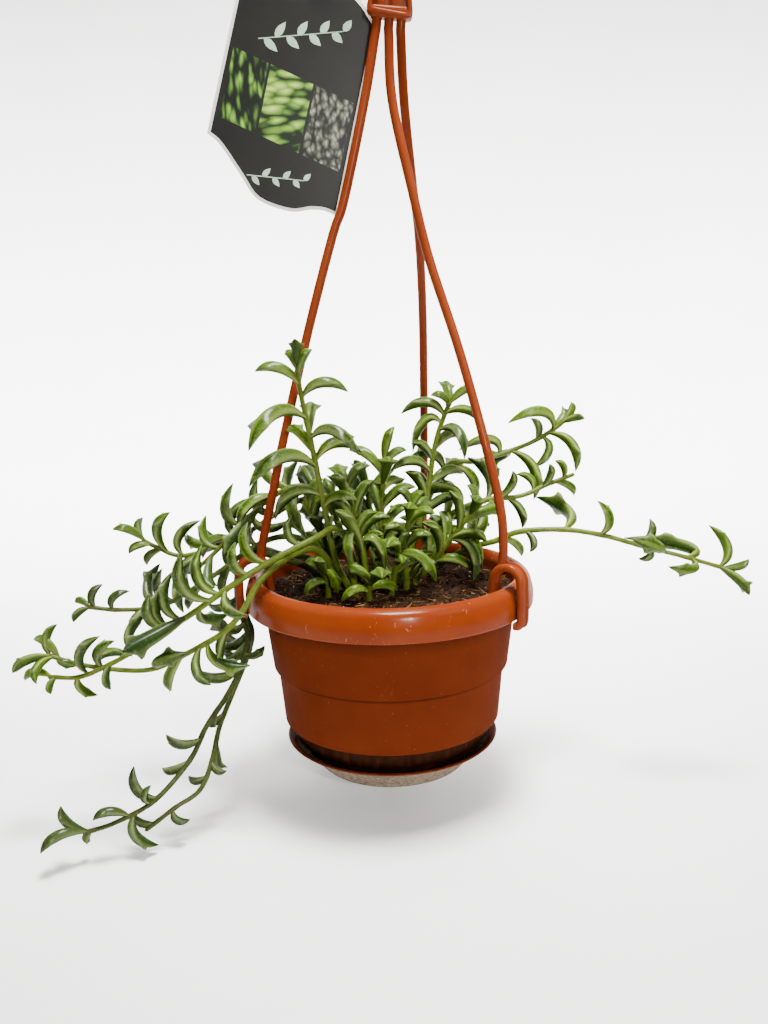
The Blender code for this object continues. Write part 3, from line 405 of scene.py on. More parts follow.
def smoothPath(points, pieces):
    # points along a smooth curve through the given points, this many for each stretch
    ends = [2 * points[0] - points[1], *points, 2 * points[-1] - points[-2]]
    path = []
    for a, b, c, d in zip(ends, ends[1:], ends[2:], ends[3:]):
        for step in range(pieces):
            t = step / pieces
            path.append(0.5 * (2 * b + (c - a) * t + (2 * a - 5 * b + 4 * c - d) * t * t
                               + (3 * b - a - 3 * c + d) * t ** 3))
    return [*path, points[-1]]


def arcPoints(centre, radius, start, end, count):
    angles = [math.radians(start + (end - start) * i / (count - 1)) for i in range(count)]
    return [(centre[0] + radius * math.cos(a), centre[1] + radius * math.sin(a)) for a in angles]


# Geometry Nodes: each tree has named inputs, and grow() sets them by their identifiers

def newTree(name, inputs):
    tree = bpy.data.node_groups.new(name, "GeometryNodeTree")
    for label, kind in {"Geometry": "Geometry", **inputs}.items():
        tree.interface.new_socket(label, in_out="INPUT", socket_type="NodeSocket" + kind)
    tree.interface.new_socket("Geometry", in_out="OUTPUT", socket_type="NodeSocketGeometry")
    return tree, addNode(tree, "NodeGroupInput").outputs


def endTree(tree, geometry, material):
    real = addNode(tree, "GeometryNodeRealizeInstances", [geometry])
    dressed = addNode(tree, "GeometryNodeSetMaterial", {0: real, "Material": material})
    addNode(tree, "NodeGroupOutput", [dressed])
    return tree


def grow(mesh, tree, values):
    # runs a tree on a mesh, and gives back the result as a plain mesh
    holder = addObject("holder", mesh)
    modifier = holder.modifiers.new(tree.name, "NODES")
    modifier.node_group = tree
    for item in tree.interface.items_tree:
        if item.in_out == "INPUT" and item.name in values:
            modifier[item.identifier] = values[item.name]
    return plainMesh(holder)


def sweepRound(tree, points, sides):
    # sweeps a round section along a line of points, each with its own girth
    line = addNode(tree, "GeometryNodeMeshToCurve", [points])
    girth = addNode(tree, "GeometryNodeInputNamedAttribute", {"Name": "girth"}, data_type="FLOAT")
    ring = addNode(tree, "GeometryNodeCurvePrimitiveCircle", {"Resolution": sides, "Radius": 1.0})
    return addNode(tree, "GeometryNodeCurveToMesh",
                   {"Curve": line, "Profile Curve": ring, "Scale": girth, "Fill Caps": True})


def rodTree():
    tree, given = newTree("roundRod", {"Sides": "Int", "Material": "Material"})
    rod = sweepRound(tree, given["Geometry"], given["Sides"])
    smooth = addNode(tree, "GeometryNodeSetShadeSmooth", {0: rod, "Shade Smooth": True})
    return endTree(tree, smooth, given["Material"])


def addNumbers(mesh, name, values):
    # one number or one vector for each point
    flat = np.array([tuple(value) if isinstance(value, (tuple, Vector)) else value for value in values],
                    np.float32)
    kind, field = ("FLOAT_VECTOR", "vector") if flat.ndim > 1 else ("FLOAT", "value")
    mesh.attributes.new(name, kind, "POINT").data.foreach_set(field, flat.ravel())


def rodAlong(path, girths, sides, material, closed=False):
    count = len(path)
    edges = [(i, i + 1) for i in range(count - 1)] + ([(count - 1, 0)] if closed else [])
    line = meshOf([place(point) for point in path], [], edges)
    addNumbers(line, "girth", [girth * mm for girth in girths])
    return grow(line, roundRod, {"Sides": sides, "Material": material})


roundRod = rodTree()


# Camera, floor and light

cameraView = {
    "at": (-0.0109, -0.3836, -0.1655), "pitch": 11.515, "yaw": -0.207, "roll": -1.358,  # metres and degrees
    "lens": 33.75, "sensor": 36.0, "nearest": 0.01,
}
studio = {
    "floorBelow": 0.003, "front": -2.5, "wallBehind": 0.85, "bend": 0.45, "bendSteps": 16, "halfWidth": 3.0,
    "height": 3.0, "world": 0.17, "worldColour": "#f4f6fa", "paperClouds": 111,
    # name: (place in metres, aimed at, width, height, spread of the beam in degrees, watts, colour)
    "lights": {
        "overhead": ((0.06, -0.12, 0.55), (0.01, 0.0, -0.25), 0.24, 0.24, 75.0, 5.2, "#ffffff"),
        "highlight": ((0.19, -0.78, 0.02), (0.01, -0.05, -0.27), 0.07, 0.05, 60.0, 0.6, "#fffdf8"),
        "window": ((0.6, -0.5, 0.35), (0.0, 0.0, -0.2), 0.4, 0.5, 60.0, 0.3, "#fffaf2"),
        "backdrop": ((0.0, 0.28, 0.5), (0.0, 0.65, -0.3), 2.2, 0.4, 92.0, 46.0, "#ffffff"),
    },
}


def setCamera(view):
    pitch, yaw, roll = [math.radians(view[name]) for name in ("pitch", "yaw", "roll")]
    ahead = Vector((math.sin(yaw) * math.cos(pitch), math.cos(yaw) * math.cos(pitch), -math.sin(pitch)))
    right = ahead.cross(upright).normalized()
    above = right.cross(ahead)
    across = math.cos(roll) * right + math.sin(roll) * above
    upward = math.cos(roll) * above - math.sin(roll) * right
    turn = Matrix((across, upward, -ahead)).transposed().to_4x4()
    turn.translation = Vector(view["at"])
    camera = addObject("camera", bpy.data.cameras.new("camera"))
    camera.data.sensor_width = view["sensor"]
    camera.data.lens = view["lens"]
    camera.data.clip_start = view["nearest"]
    camera.matrix_world = turn
    bpy.context.scene.camera = camera


def makeStudio(form):
    # a pale paper sweep: floor, a wide bend, and the wall behind
    ground, wall, bend = cadLow.z - form["floorBelow"], form["wallBehind"], form["bend"]
    line = [(form["front"], ground)]
    for step in range(form["bendSteps"] + 1):
        turn = math.radians(90.0 * step / form["bendSteps"])
        line.append((wall - bend * (1 - math.sin(turn)), ground + bend * (1 - math.cos(turn))))
    line.append((wall, ground + form["height"]))
    count = len(line)
    mesh = meshOf([(side * form["halfWidth"], y, z) for side in (-1, 1) for y, z in line],
                  [(i, i + count, i + count + 1, i + 1) for i in range(count - 1)])
    mesh.shade_smooth()
    # matt backdrop paper, rolled: even, pale and without gloss
    paper, tree, shader, coords = newMaterial("matt backdrop paper", {"Roughness": 0.95})
    clouds = addNode(tree, "ShaderNodeTexNoise",
                     {"Vector": coords, "Scale": perMm(form["paperClouds"]), "Detail": 2.0})
    feed(shader, {"Base Color": addNode(tree, "ShaderNodeValToRGB", [clouds],
                                        [(0.3, "#f6f5f4"), (0.7, "#f9f9f8")])})
    mesh.materials.append(paper)
    addObject("paper_sweep", mesh)
    world = bpy.data.worlds.new("studio")
    world.use_nodes = True
    feed(world.node_tree.nodes["Background"], {"Color": form["worldColour"], "Strength": form["world"]})
    bpy.context.scene.world = world
    for name, (at, target, width, height, spread, watts, colour) in form["lights"].items():
        light = bpy.data.lights.new(name, "AREA")
        light.shape = "RECTANGLE"
        light.size = width
        light.size_y = height
        light.spread = math.radians(spread)
        light.energy = watts
        light.color = linear(colour)[:3]
        lamp = addObject(name, light)
        lamp.location = at
        lamp.rotation_euler = (Vector(target) - Vector(at)).to_track_quat("-Z", "Y").to_euler()


setCamera(cameraView)
makeStudio(studio)
print("camera, sweep and lights set")


# Pot and saucer

# each profile is (radius, height, corner radius), from the inside of the floor over the lip and down the
# outside
potForm = {
    "steps": 144, "rimFrom": -0.2,
    "profile": [
        (0, -65.8, 0), (27, -65.8, 2), (36, -58.6, 2), (38.6, -55, 1.5), (39, -48.6, 1), (43, -47.6, 1),
        (46.9, -25.8, 1), (51.2, 9.6, 1.5), (52.6, 11.9, 1.4), (54.8, 12.2, 2.5), (57.6, 10.6, 2.5),
        (59.2, 5, 4),
        (59, 0.3, 0.5), (58.3, -0.3, 0.5), (52.1, 0.7, 0.6), (51.3, -4, 2), (48.8, -24.9, 0.3),
        (48.7, -25.7, 0.2),
        (47.0, -25.9, 0.2), (44.9, -49.2, 0.5), (40.7, -50, 0.6), (40.2, -55.6, 2), (37, -60.6, 2),
        (28.6, -67.6, 1.5), (0, -67.6, 0)],
}
saucerForm = {
    "steps": 144,
    "profile": [
        (0, -67.9, 0), (29.3, -67.9, 2), (41.2, -58.1, 1.5), (42.7, -57.3, 0.4), (43.5, -57, 0.4),
        (44.3, -57.4, 0.4), (42.7, -58.7, 1), (36, -63.7, 3), (31.8, -68.3, 1.5), (30.8, -69.5, 0.8),
        (0, -69.5, 0)],
}


def makeTurned(name, form, materials):
    # the faces above rimFrom take the second material
    mesh = closeAndSmooth(turned(roundedLine(form["profile"]), form["steps"]))
    for material in materials:
        mesh.materials.append(material)
    if "rimFrom" in form:
        for face in mesh.polygons:
            face.material_index = int(face.center.z > levelOf(form["rimFrom"]))
    return finish(name + "_moulded", mesh, name, materials)


makeTurned("pot", potForm, [potPlastic, rimPlasticPaintedLight])
makeTurned("saucer", saucerForm, [saucerPlastic])
print("pot and saucer turned")


# Soil

soilForm = {
    "steps": 240, "rings": 84, "radius": 50.6, "edgeHeight": 5.3, "crown": 6.6,
    "sides": [(46.5, -26), (42.4, -47.5), (38.4, -48.5), (38.1, -54.9), (35.6, -58.3), (26.7, -65.5)],
    "floor": -65.5, "lump": 1.5, "lumpSize": 7.0, "fine": 0.5, "fineSize": 1.7, "seed": 4,
    "crumbs": 0.24, "fibres": 0.10, "grit": 0.012,  # how many on a square millimetre
}


def makeCrumb(seed, flat):
    shape = bmesh.new()
    bmesh.ops.create_icosphere(shape, subdivisions=1, radius=0.5 * mm)
    rng = random.Random(seed)
    for corner in shape.verts:
        corner.co *= rng.uniform(0.65, 1.2)
        corner.co.z *= flat
    return meshFrom(shape)


def makeFibre(bend):
    # a strand 5 mm long and 0.24 mm thick, bowed sideways and up in the middle
    points = []
    for x, girth in ((-2.5, 0.05), (-1.2, 0.12), (0, 0.12), (1.2, 0.12), (2.5, 0.05)):
        bow = 1 - (x / 2.5) ** 2
        for turn in (90, 210, 330):
            angle = math.radians(turn)
            ring = Vector((0, girth * math.cos(angle), girth * math.sin(angle)))
            points.append((Vector((x, bend * bow, 0.25 * bow)) + ring) * mm)
    return meshOf(points, [*ringFaces(evenRings(5, 3)), (2, 1, 0), (12, 13, 14)])


def scatterTree():
    # strews crumbs, fibres and grit over the soil's top
    tree, given = newTree("strewnSoil", {
        "Seed": "Int", "Crumb": "Object", "Fibre": "Object", "Crumbs per m2": "Float",
        "Fibres per m2": "Float",
        "Grit per m2": "Float", "Material": "Material"})
    top = addNode(tree, "GeometryNodeInputNamedAttribute", {"Name": "isTop"}, data_type="FLOAT")
    onTop = addNode(tree, "FunctionNodeCompare", [top, 0.5], operation="GREATER_THAN")
    whole = addNode(tree, "GeometryNodeJoinGeometry")
    tumbled = ((0.0, 0.0, 0.0), (6.28, 6.28, 6.28))
    lying = ((-0.35, -0.35, 0.0), (0.35, 0.35, 6.28))
    kinds = [("Crumbs per m2", "Crumb", tumbled, (0.5, 1.9)), ("Fibres per m2", "Fibre", lying, (0.35, 1.5)),
             ("Grit per m2", "Crumb", tumbled, (0.5, 1.1))]
    for index, (density, template, turns, sizes) in enumerate(kinds):
        seed = addNode(tree, "ShaderNodeMath", [given["Seed"], 7.0 * index], operation="ADD")
        spots = addNode(tree, "GeometryNodeDistributePointsOnFaces",
                        {"Mesh": given["Geometry"], "Selection": onTop, "Density": given[density],
                         "Seed": seed})
        shape = addNode(tree, "GeometryNodeObjectInfo", {"Object": given[template]}).outputs["Geometry"]
        turn = addNode(tree, "FunctionNodeRandomValue", {0: turns[0], 1: turns[1], "Seed": seed},
                       data_type="FLOAT_VECTOR")
        size, tone = [
            addNode(tree, "FunctionNodeRandomValue", {2: low, 3: high, "Seed": own},
                    data_type="FLOAT").outputs[1]
            for low, high, own in ((*sizes, seed), (0.0, 1.0, 3 + index))]
        strewn = addNode(tree, "GeometryNodeInstanceOnPoints",
                         {"Points": spots, "Instance": shape, "Rotation": turn, "Scale": size})
        for name, value in (("tone", tone), ("grain", 1.0 + index)):
            strewn = addNode(tree, "GeometryNodeStoreNamedAttribute",
                             {0: strewn, "Name": name, "Value": value},
                             data_type="FLOAT", domain="INSTANCE")
        feed(whole, [strewn])
    feed(whole, [given["Geometry"]])
    return endTree(tree, whole, given["Material"])


def makeSoil(form):
    steps, rings = form["steps"], form["rings"]
    turns = [2 * math.pi * step / steps for step in range(steps)]
    points, isTop = [place((0, 0, form["crown"]))], [1.0]
    offset = Vector((form["seed"], 0, 0))
    for ring in range(1, rings + 1):
        share = ring / rings
        for turn in turns:
            x, y, _ = ringPoint(form["radius"] * share, turn)
            lump = noise.noise(Vector((x, y, 0)) / form["lumpSize"] + offset)
            fine = noise.turbulence(Vector((x, y, 9.0)) / form["fineSize"], 3, False)
            height = form["crown"] + (form["edgeHeight"] - form["crown"]) * share ** 3
            height += form["lump"] * lump + form["fine"] * (fine - 0.5)
            points.append(place((x, y, height)))
            isTop.append(1.0 if ring < rings - 2 else 0.0)
    for radius, height in form["sides"]:
        points += [place(ringPoint(radius, turn, height)) for turn in turns]
    points.append(place((0, 0, form["floor"])))
    isTop += [0.0] * (len(points) - len(isTop))
    # from the crown outwards and down, one slice after the other
    faces = []
    total = rings + len(form["sides"])
    for step in range(steps):
        after = (step + 1) % steps
        faces.append((0, 1 + step, 1 + after))
        for start in range(1, 1 + (total - 1) * steps, steps):
            faces.append((start + step, start + steps + step, start + steps + after, start + after))
        last = 1 + (total - 1) * steps
        faces.append((last + step, len(points) - 1, last + after))
    mesh = meshOf(points, faces)
    addNumbers(mesh, "isTop", isTop)
    mesh.shade_smooth()
    return mesh


def strewSoil(form):
    crumb = addObject("crumb", makeCrumb(form["seed"], 0.75))
    fibre = addObject("fibre", makeFibre(0.9))
    perMetre = 1000.0 * 1000.0
    mesh = grow(makeSoil(form), scatterTree(), {
        "Seed": form["seed"], "Crumb": crumb, "Fibre": fibre, "Crumbs per m2": form["crumbs"] * perMetre,
        "Fibres per m2": form["fibres"] * perMetre, "Grit per m2": form["grit"] * perMetre,
        "Material": pottingSoil})
    for template in (crumb, fibre):
        bpy.data.objects.remove(template)
    return finish("soil_strewn", mesh, "soil", [pottingSoil])


soilPiece = strewSoil(soilForm)
print("soil strewn:", len(soilPiece.data.polygons), "faces")


# Hanger

hangerForm = {
    "headTilt": 6.0, "barBottom": 58.5, "barHeight": 4.3, "barWidth": 14.0, "barThickness": 5.6,
    "barSoften": 1.1,
    "frameBottom": 57.2, "frameBand": 2.0, "footSlant": 1.3, "frameThickness": 6.2, "panelThickness": 1.2,
    "ribThickness": 3.2, "socketDepth": 2.5, "socketSpacing": 4.5, "rodRadius": 1.8, "rodSwell": 0.18,
    "wireRadius": 2.0, "hookRadius": 9.0, "hookEnd": 205.0, "clipRadius": 55.2, "archRadius": 5.9,
    "archHeight": 14.6, "clipWidth": 6.0, "clipThickness": 3.0,
    "rodLanding": 120.0,  # where on the clip's arch the rod comes down, in degrees from its outer side
}
clips = {  # direction of the clip round the rim, which socket holds the rod's top, and the rod's route
    "strap_left": (190.0, -1, [
        (-5.0, -1.8, 193.7), (-13.7, -3.0, 158.1), (-18.4, -3.7, 145.3), (-28.9, -5.5, 110.0),
        (-40.3, -7.5, 67.7),
        (-46.0, -8.6, 44.0), (-50.0, -9.0, 27.9)]),
    "strap_right": (-34.5, 0, [
        (5.3, -2.0, 193.5), (12.0, -8.0, 160.5), (17.9, -13.0, 134.8), (28.2, -20.0, 101.5),
        (37.7, -28.0, 64.7),
        (42.6, -30.0, 42.2), (43.6, -30.2, 27.0)]),
    "strap_back": (72.0, 1, [
        (9.9, 6.0, 195.1), (12.9, 18.0, 167.5), (15.7, 28.0, 145.1), (17.3, 41.0, 108.3), (17.3, 51.0, 47.3),
        (16.8, 51.2, 27.0)]),
}


def headPoint(x, z, y=0.0):
    # a point of the tilted head, from its own frame with the origin on the hook's seat
    tilted = Matrix.Rotation(math.radians(hangerForm["headTilt"]), 3, "Y") @ Vector((x, y, z))
    return tilted + Vector((-potAxisFromSeat, 0.0, lipBelowSeat))


def flatPlate(outlines, thickness, soften, stand):
    # a plate cut to outlines, with softened edges; outlines inside the first are holes
    curve = bpy.data.curves.new("plate", "CURVE")
    curve.dimensions = "2D"
    curve.fill_mode = "BOTH"
    curve.extrude = (0.5 * thickness - soften) * mm
    curve.bevel_depth = soften * mm
    curve.bevel_resolution = 2
    curve.offset = -soften * mm
    for outline in outlines:
        line = curve.splines.new("POLY")
        line.points.add(len(outline) - 1)
        line.use_cyclic_u = True
        for knot, (x, y) in zip(line.points, outline):
            knot.co = (x * mm, y * mm, 0.0, 1.0)
    mesh = plainMesh(addObject("plate", curve))
    mesh.transform(stand)
    return closeAndSmooth(mesh)


def softLoop(points, radius):
    # a closed outline with its corners rounded
    wrapped = [(*points[-1], radius), *[(x, y, radius) for x, y in points], (*points[0], radius)]
    return roundedLine(wrapped, 3)[1:-1]


def makeHead(form):
    tilt = Matrix.Rotation(math.radians(form["headTilt"]), 4, "Y")
    stand = tilt @ Matrix.Rotation(math.radians(90.0), 4, "X")
    foot, band, slant = form["frameBottom"], form["frameBand"], form["footSlant"]
    outline = [(-8.9, -foot), (8.9, -slant - foot), (6.0, -39.0), (3.4, -36.0), (-3.4, -36.0), (-6.0, -39.0)]
    window = [(-6.7, band - foot), (6.7, band - slant - foot), (4.4, -40.6), (-4.4, -40.6)]
    panel = [(-7.2, 1.0 - foot), (7.2, 1.0 - slant - foot), (5.0, -39.9), (-5.0, -39.9)]
    parts = [flatPlate([softLoop(outline, 2.6), softLoop(window, 1.3)], form["frameThickness"], 0.6, stand),
             flatPlate([panel], form["panelThickness"], 0.1, stand)]
    # two broad ribs on the panel leave a dark groove in the middle and one beside each leg of the frame
    for side in (-1, 1):
        rib = [(side * 0.55, 2.0 - foot), (side * 4.9, 2.0 - foot), (side * 3.2, -41.6), (side * 0.5, -41.6)]
        parts.append(flatPlate([softLoop(rib, 0.5)], form["ribThickness"], 0.3, stand))
    shape = bmesh.new()
    size = (form["barWidth"] * mm, form["barThickness"] * mm, form["barHeight"] * mm, 1.0)
    bmesh.ops.create_cube(shape, size=1.0, matrix=Matrix.Diagonal(size))
    bmesh.ops.bevel(shape, geom=shape.edges, offset=form["barSoften"] * mm, segments=4, affect="EDGES",
                    profile=0.5)
    bar = meshFrom(shape)
    bar.transform(tilt @ Matrix.Translation((0.0, 0.0, (0.5 * form["barHeight"] - form["barBottom"]) * mm)))
    parts.append(closeAndSmooth(bar))
    # the shank bends out of the neck and turns into the open hook
    radius = form["hookRadius"] + form["wireRadius"]
    shank = [(0.0, -38.0), (0.0, -34.0), (0.0, -29.5), (3.2, -24.5), (8.6, -19.8), (radius, -14.0)]
    arc = arcPoints((0.0, -form["hookRadius"]), radius, 0.0, form["hookEnd"], 30)
    shankPath = smoothPath([Vector((x, 0, z)) for x, z in [*shank, arc[0]]], 4)[:-1]
    path = [headPoint(point.x, point.z) for point in shankPath] + [headPoint(x, z) for x, z in arc]
    girths = [form["wireRadius"]] * (len(path) - 1) + [form["wireRadius"] * 0.6]
    parts.append(rodAlong(path, girths, 18, hangerPlastic))
    return finish("hanger_head_moulded", joined(parts), "hanger_head", [hangerPlastic])


def clipLine(form, count):
    # the middle of the clip's band as (radius from the pot's axis, height), from inside the rim to its catch
    arch = arcPoints((form["clipRadius"], form["archHeight"]), form["archRadius"], 180.0, 0.0, count)
    inner, outer = arch[0][0], arch[-1][0]
    return [(inner - 0.8, 7.4, 0), (inner - 0.2, 11.5, 2), *[(x, y, 0) for x, y in arch],
            (outer + 0.4, 6.0, 4),
            (outer + 0.2, -0.4, 1.5), (outer - 0.6, -2.1, 1.0), (58.4, -2.2, 0)]


def clipDirections(name):
    outward = Vector(ringPoint(1.0, math.radians(clips[name][0])))
    return outward, Vector((-outward.y, outward.x, 0.0))


def makeClip(name, form):
    # a band with softened edges and two raised ribs down its outer face
    half, thick = form["clipWidth"] / 2, form["clipThickness"] / 2
    right = [(half - 0.6, -thick), (half, 0.6 - thick), (half, thick - 0.9), (half - 0.4, thick - 0.35),
             (half - 1.1, thick), (half - 1.6, thick - 0.1), (half - 1.9, thick - 0.75)]
    left = [(-wide, deep) for wide, deep in reversed(right)]
    section = [*left[-2:], *right, *left[:-2]]
    line = roundedLine(clipLine(form, 25), 3)
    outward, across = clipDirections(name)
    points = []
    for index, (x, y) in enumerate(line):
        before, after = line[max(index - 1, 0)], line[min(index + 1, len(line) - 1)]
        ahead = Vector((after[0] - before[0], after[1] - before[1])).normalized()
        for wide, deep in section:
            level = Vector((0.0, 0.0, y + ahead.x * deep))
            points.append(place(outward * (x - ahead.y * deep) + level + across * wide))
    rings = evenRings(len(line), len(section))
    return closeAndSmooth(meshOf(points, [*ringFaces(rings), rings[0], rings[-1]]), 50)


def rodPath(name, form):
    # the rod's straight top in its socket, and its route from there to its clip
    direction, socket, route = clips[name]
    x = socket * form["socketSpacing"]
    top = [headPoint(x, form["socketDepth"] - 0.3 - form["barBottom"]), headPoint(x, -form["barBottom"]),
           headPoint(x, -form["barBottom"] - 3.0)]
    landing = math.radians(form["rodLanding"])
    clip = ringPoint(form["clipRadius"] + form["archRadius"] * math.cos(landing), math.radians(direction),
                     form["archHeight"] + form["archRadius"] * math.sin(landing))
    return top, [top[2], *[Vector(point) for point in [*route, clip]]]


def makeStrap(name, form):
    top, route = rodPath(name, form)
    path = [*top[:2], *smoothPath(route, 7)]
    # the rod swells a little where it was moulded on to the clip
    girths = [form["rodRadius"] * (1 + form["rodSwell"] * max(0.0,
                                                              1 - left / 3)) for left in range(len(path))]
    rod = rodAlong(path, girths[::-1], 20, hangerPlastic)
    return finish(name + "_moulded", joined([makeClip(name, form), rod]), name,
                  [hangerPlastic])


makeHead(hangerForm)
for strapName in clips:
    makeStrap(strapName, hangerForm)
print("hanger made")


# Label and its tie

labelForm = {
    "corner": (-65.6, 5.0, 184.7), "turn": 15.0, "thickness": 0.8, "soften": 0.08, "hole": (27.0, 60.0),
    "holeRadius": 2.4, "border": 1.25, "ink": 0.04, "tieRadius": 0.6,
    # each print's name, colours from the middle of a fleck outwards, fleck size and stretch
    "prints": [
        ("coated white card", [(0.0, "#f3f1ea"), (1.0, "#e9e6dc")], 9, (1, 1, 1)),
        ("dark printed card", [(0.0, "#12110e"), (1.0, "#191713")], 12, (1, 1, 1)),
        ("printed card, fern green", [(0.0, "#a9c75a"), (0.3, "#5f8a2c"), (0.5, "#2c441a"),
                                      (0.62, "#0c1208")],
         2.3, (1.0, 1.0, 0.32)),
        ("printed card, grass green", [(0.0, "#cfe07a"), (0.35, "#7fa838"), (0.58, "#3a5a1c"),
                                       (0.7, "#10180a")],
         2.9, (0.4, 1.0, 1.0)),
        ("printed card, moss grey", [(0.0, "#a8a796"), (0.35, "#5f6253"), (0.6, "#2a2c24"),
                                     (0.72, "#10110e")],
         1.9, (1.0, 1.0, 0.6)),
        ("printed card, pale green", [(0.0, "#b9cfb4"), (1.0, "#9fbca2")], 2, (1, 1, 1)),
    ],
    # three slanting panels side by side across the middle: left, right, which print
    "panels": [(3.6, 17.6, 2), (18.6, 35.6, 3), (36.6, 52.2, 4)], "panelSlant": 0.18,
    # a plain sprig above and a smaller one below: place, aim, length, leaves, leaf length and width
    "sprigs": [((14.0, 38.0), 18.0, 30.0, 8, 7.0, 1.5), ((20.0, -11.0), 8.0, 20.0, 6, 4.6, 1.1)],
}


def labelOutline():
    dome = arcPoints((27.0, 37.0), 29.0, 62.0, 118.0, 17)
    wave = [(0.0, 0.0), (5.7, -3.0), (15.4, -11.8), (24.0, -19.2), (37.1, -20.6), (44.5, -18.1),
            (50.0, -17.2),
            (55.6, -18.1)]
    bottom = [(point.x, point.y) for point in smoothPath([Vector((x, y, 0)) for x, y in wave], 4)]
    right = [(55.6, -18.1, 0), (55.0, 10.0, 0), (54.2, 52.0, 2), (48.0, 58.0, 2), (*dome[0], 0)]
    left = [(*dome[-1], 0), (6.5, 58.0, 2), (1.0, 52.0, 2), (0.0, 0.0, 0)]
    return [*bottom, *roundedLine(right, 3)[1:-1], *dome, *roundedLine(left, 3)[1:-1]]


def insetLoop(outline, by):
    # the same loop, this much further in
    count, found = len(outline), []
    for index, (x, y) in enumerate(outline):
        before, after = outline[index - 1], outline[(index + 1) % count]
        first = Vector((x - before[0], y - before[1])).normalized()
        second = Vector((after[0] - x, after[1] - y)).normalized()
        inward = Vector((-first.y - second.y, first.x + second.x)).normalized()
        reach = by / max(0.5, inward.dot(Vector((-first.y, first.x))))
        found.append((x + inward.x * reach, y + inward.y * reach))
    return found


def leafBlade(at, aim, length, width):
    # the outline of a plain printed leaf, pointed at both ends
    side = [(share * length, width * math.sin(math.pi * share ** 0.8)) for share in (0.0, 0.15, 0.35, 0.6,
                                                                                     0.82, 1.0)]
    turn = math.radians(aim)
    loop = side + [(x, -y) for x, y in side[-2:0:-1]]
    return [(at[0] + x * math.cos(turn) - y * math.sin(turn), at[1] + x * math.sin(turn) + y * math.cos(turn))
            for x, y in loop]


def makePrinted(name, stops, patternMm, stretch):
    # ink printed on coated card: flat and slightly glossy, with a leafy pattern where the stops differ
    material, tree, shader, coords = newMaterial(name, {"Roughness": 0.34, "IOR": 1.5, "Coat Weight": 0.2})
    lean = addNode(tree, "ShaderNodeMapping",
                   {"Vector": coords, "Rotation": (0.0, math.radians(38.0), 0.0), "Scale": stretch})
    wavy = addNode(tree, "ShaderNodeTexNoise", {"Vector": lean, "Scale": perMm(patternMm * 1.6)})
    bent = addNode(tree, "ShaderNodeVectorMath", [wavy.outputs["Color"], (0.003, 0.003, 0.003), lean],
                   operation="MULTIPLY_ADD")
    flecks = addNode(tree, "ShaderNodeTexVoronoi", {"Vector": bent, "Scale": perMm(patternMm)})
    feed(shader, {"Base Color": addNode(tree, "ShaderNodeValToRGB", [flecks], stops)})
    return material


def makeLabel(form):
    stand = (Matrix.Translation(place(form["corner"])) @ Matrix.Rotation(math.radians(form["turn"]), 4, "Y")
             @ Matrix.Rotation(math.radians(90.0), 4, "X"))
    outline = labelOutline()
    inner = insetLoop(outline, form["border"])
    hole, wideHole = [arcPoints(form["hole"], form["holeRadius"] + more, 0.0, 345.0, 24) for more in (0, 0.9)]
    back, front = -form["thickness"] / 2, form["thickness"] / 2
    printed = [([inner, wideHole], front, 1), ([inner, wideHole], back, 1)]
    front += form["ink"]
    for left, right, ink in form["panels"]:
        low, high = [[(x, y - form["panelSlant"] * x) for x in (left, right)] for y in (7.5, 33.0)]
        printed.append(([low + high[::-1]], front, ink))
    for (x, y), aim, length, count, blade, width in form["sprigs"]:
        turn = math.radians(aim)
        for index in range(count):
            along = length * index / (count - 1)
            at = (x + along * math.cos(turn), y + along * math.sin(turn))
            side = 48 if index % 2 else -48
            printed.append(([leafBlade(at, aim + side, blade * (1 - 0.04 * index), width)], front, 5))
        low = y - 2 * math.tan(turn)
        stalk = [(x - 2, low - 0.18), (at[0], at[1] - 0.15), (at[0], at[1] + 0.15), (x - 2, low + 0.18)]
        printed.append(([stalk], front, 5))
    meshes = [flatPlate([outline, hole], form["thickness"], form["soften"], stand)]
    for outlines, level, _ in printed:
        meshes.append(flatPlate(outlines, form["ink"], 0.0, stand @ Matrix.Translation((0, 0, level * mm))))
    card = joined(meshes, [0, *[ink for _, _, ink in printed]])
    return finish("tag_printed", card, "tag", [makePrinted(*ink) for ink in form["prints"]])


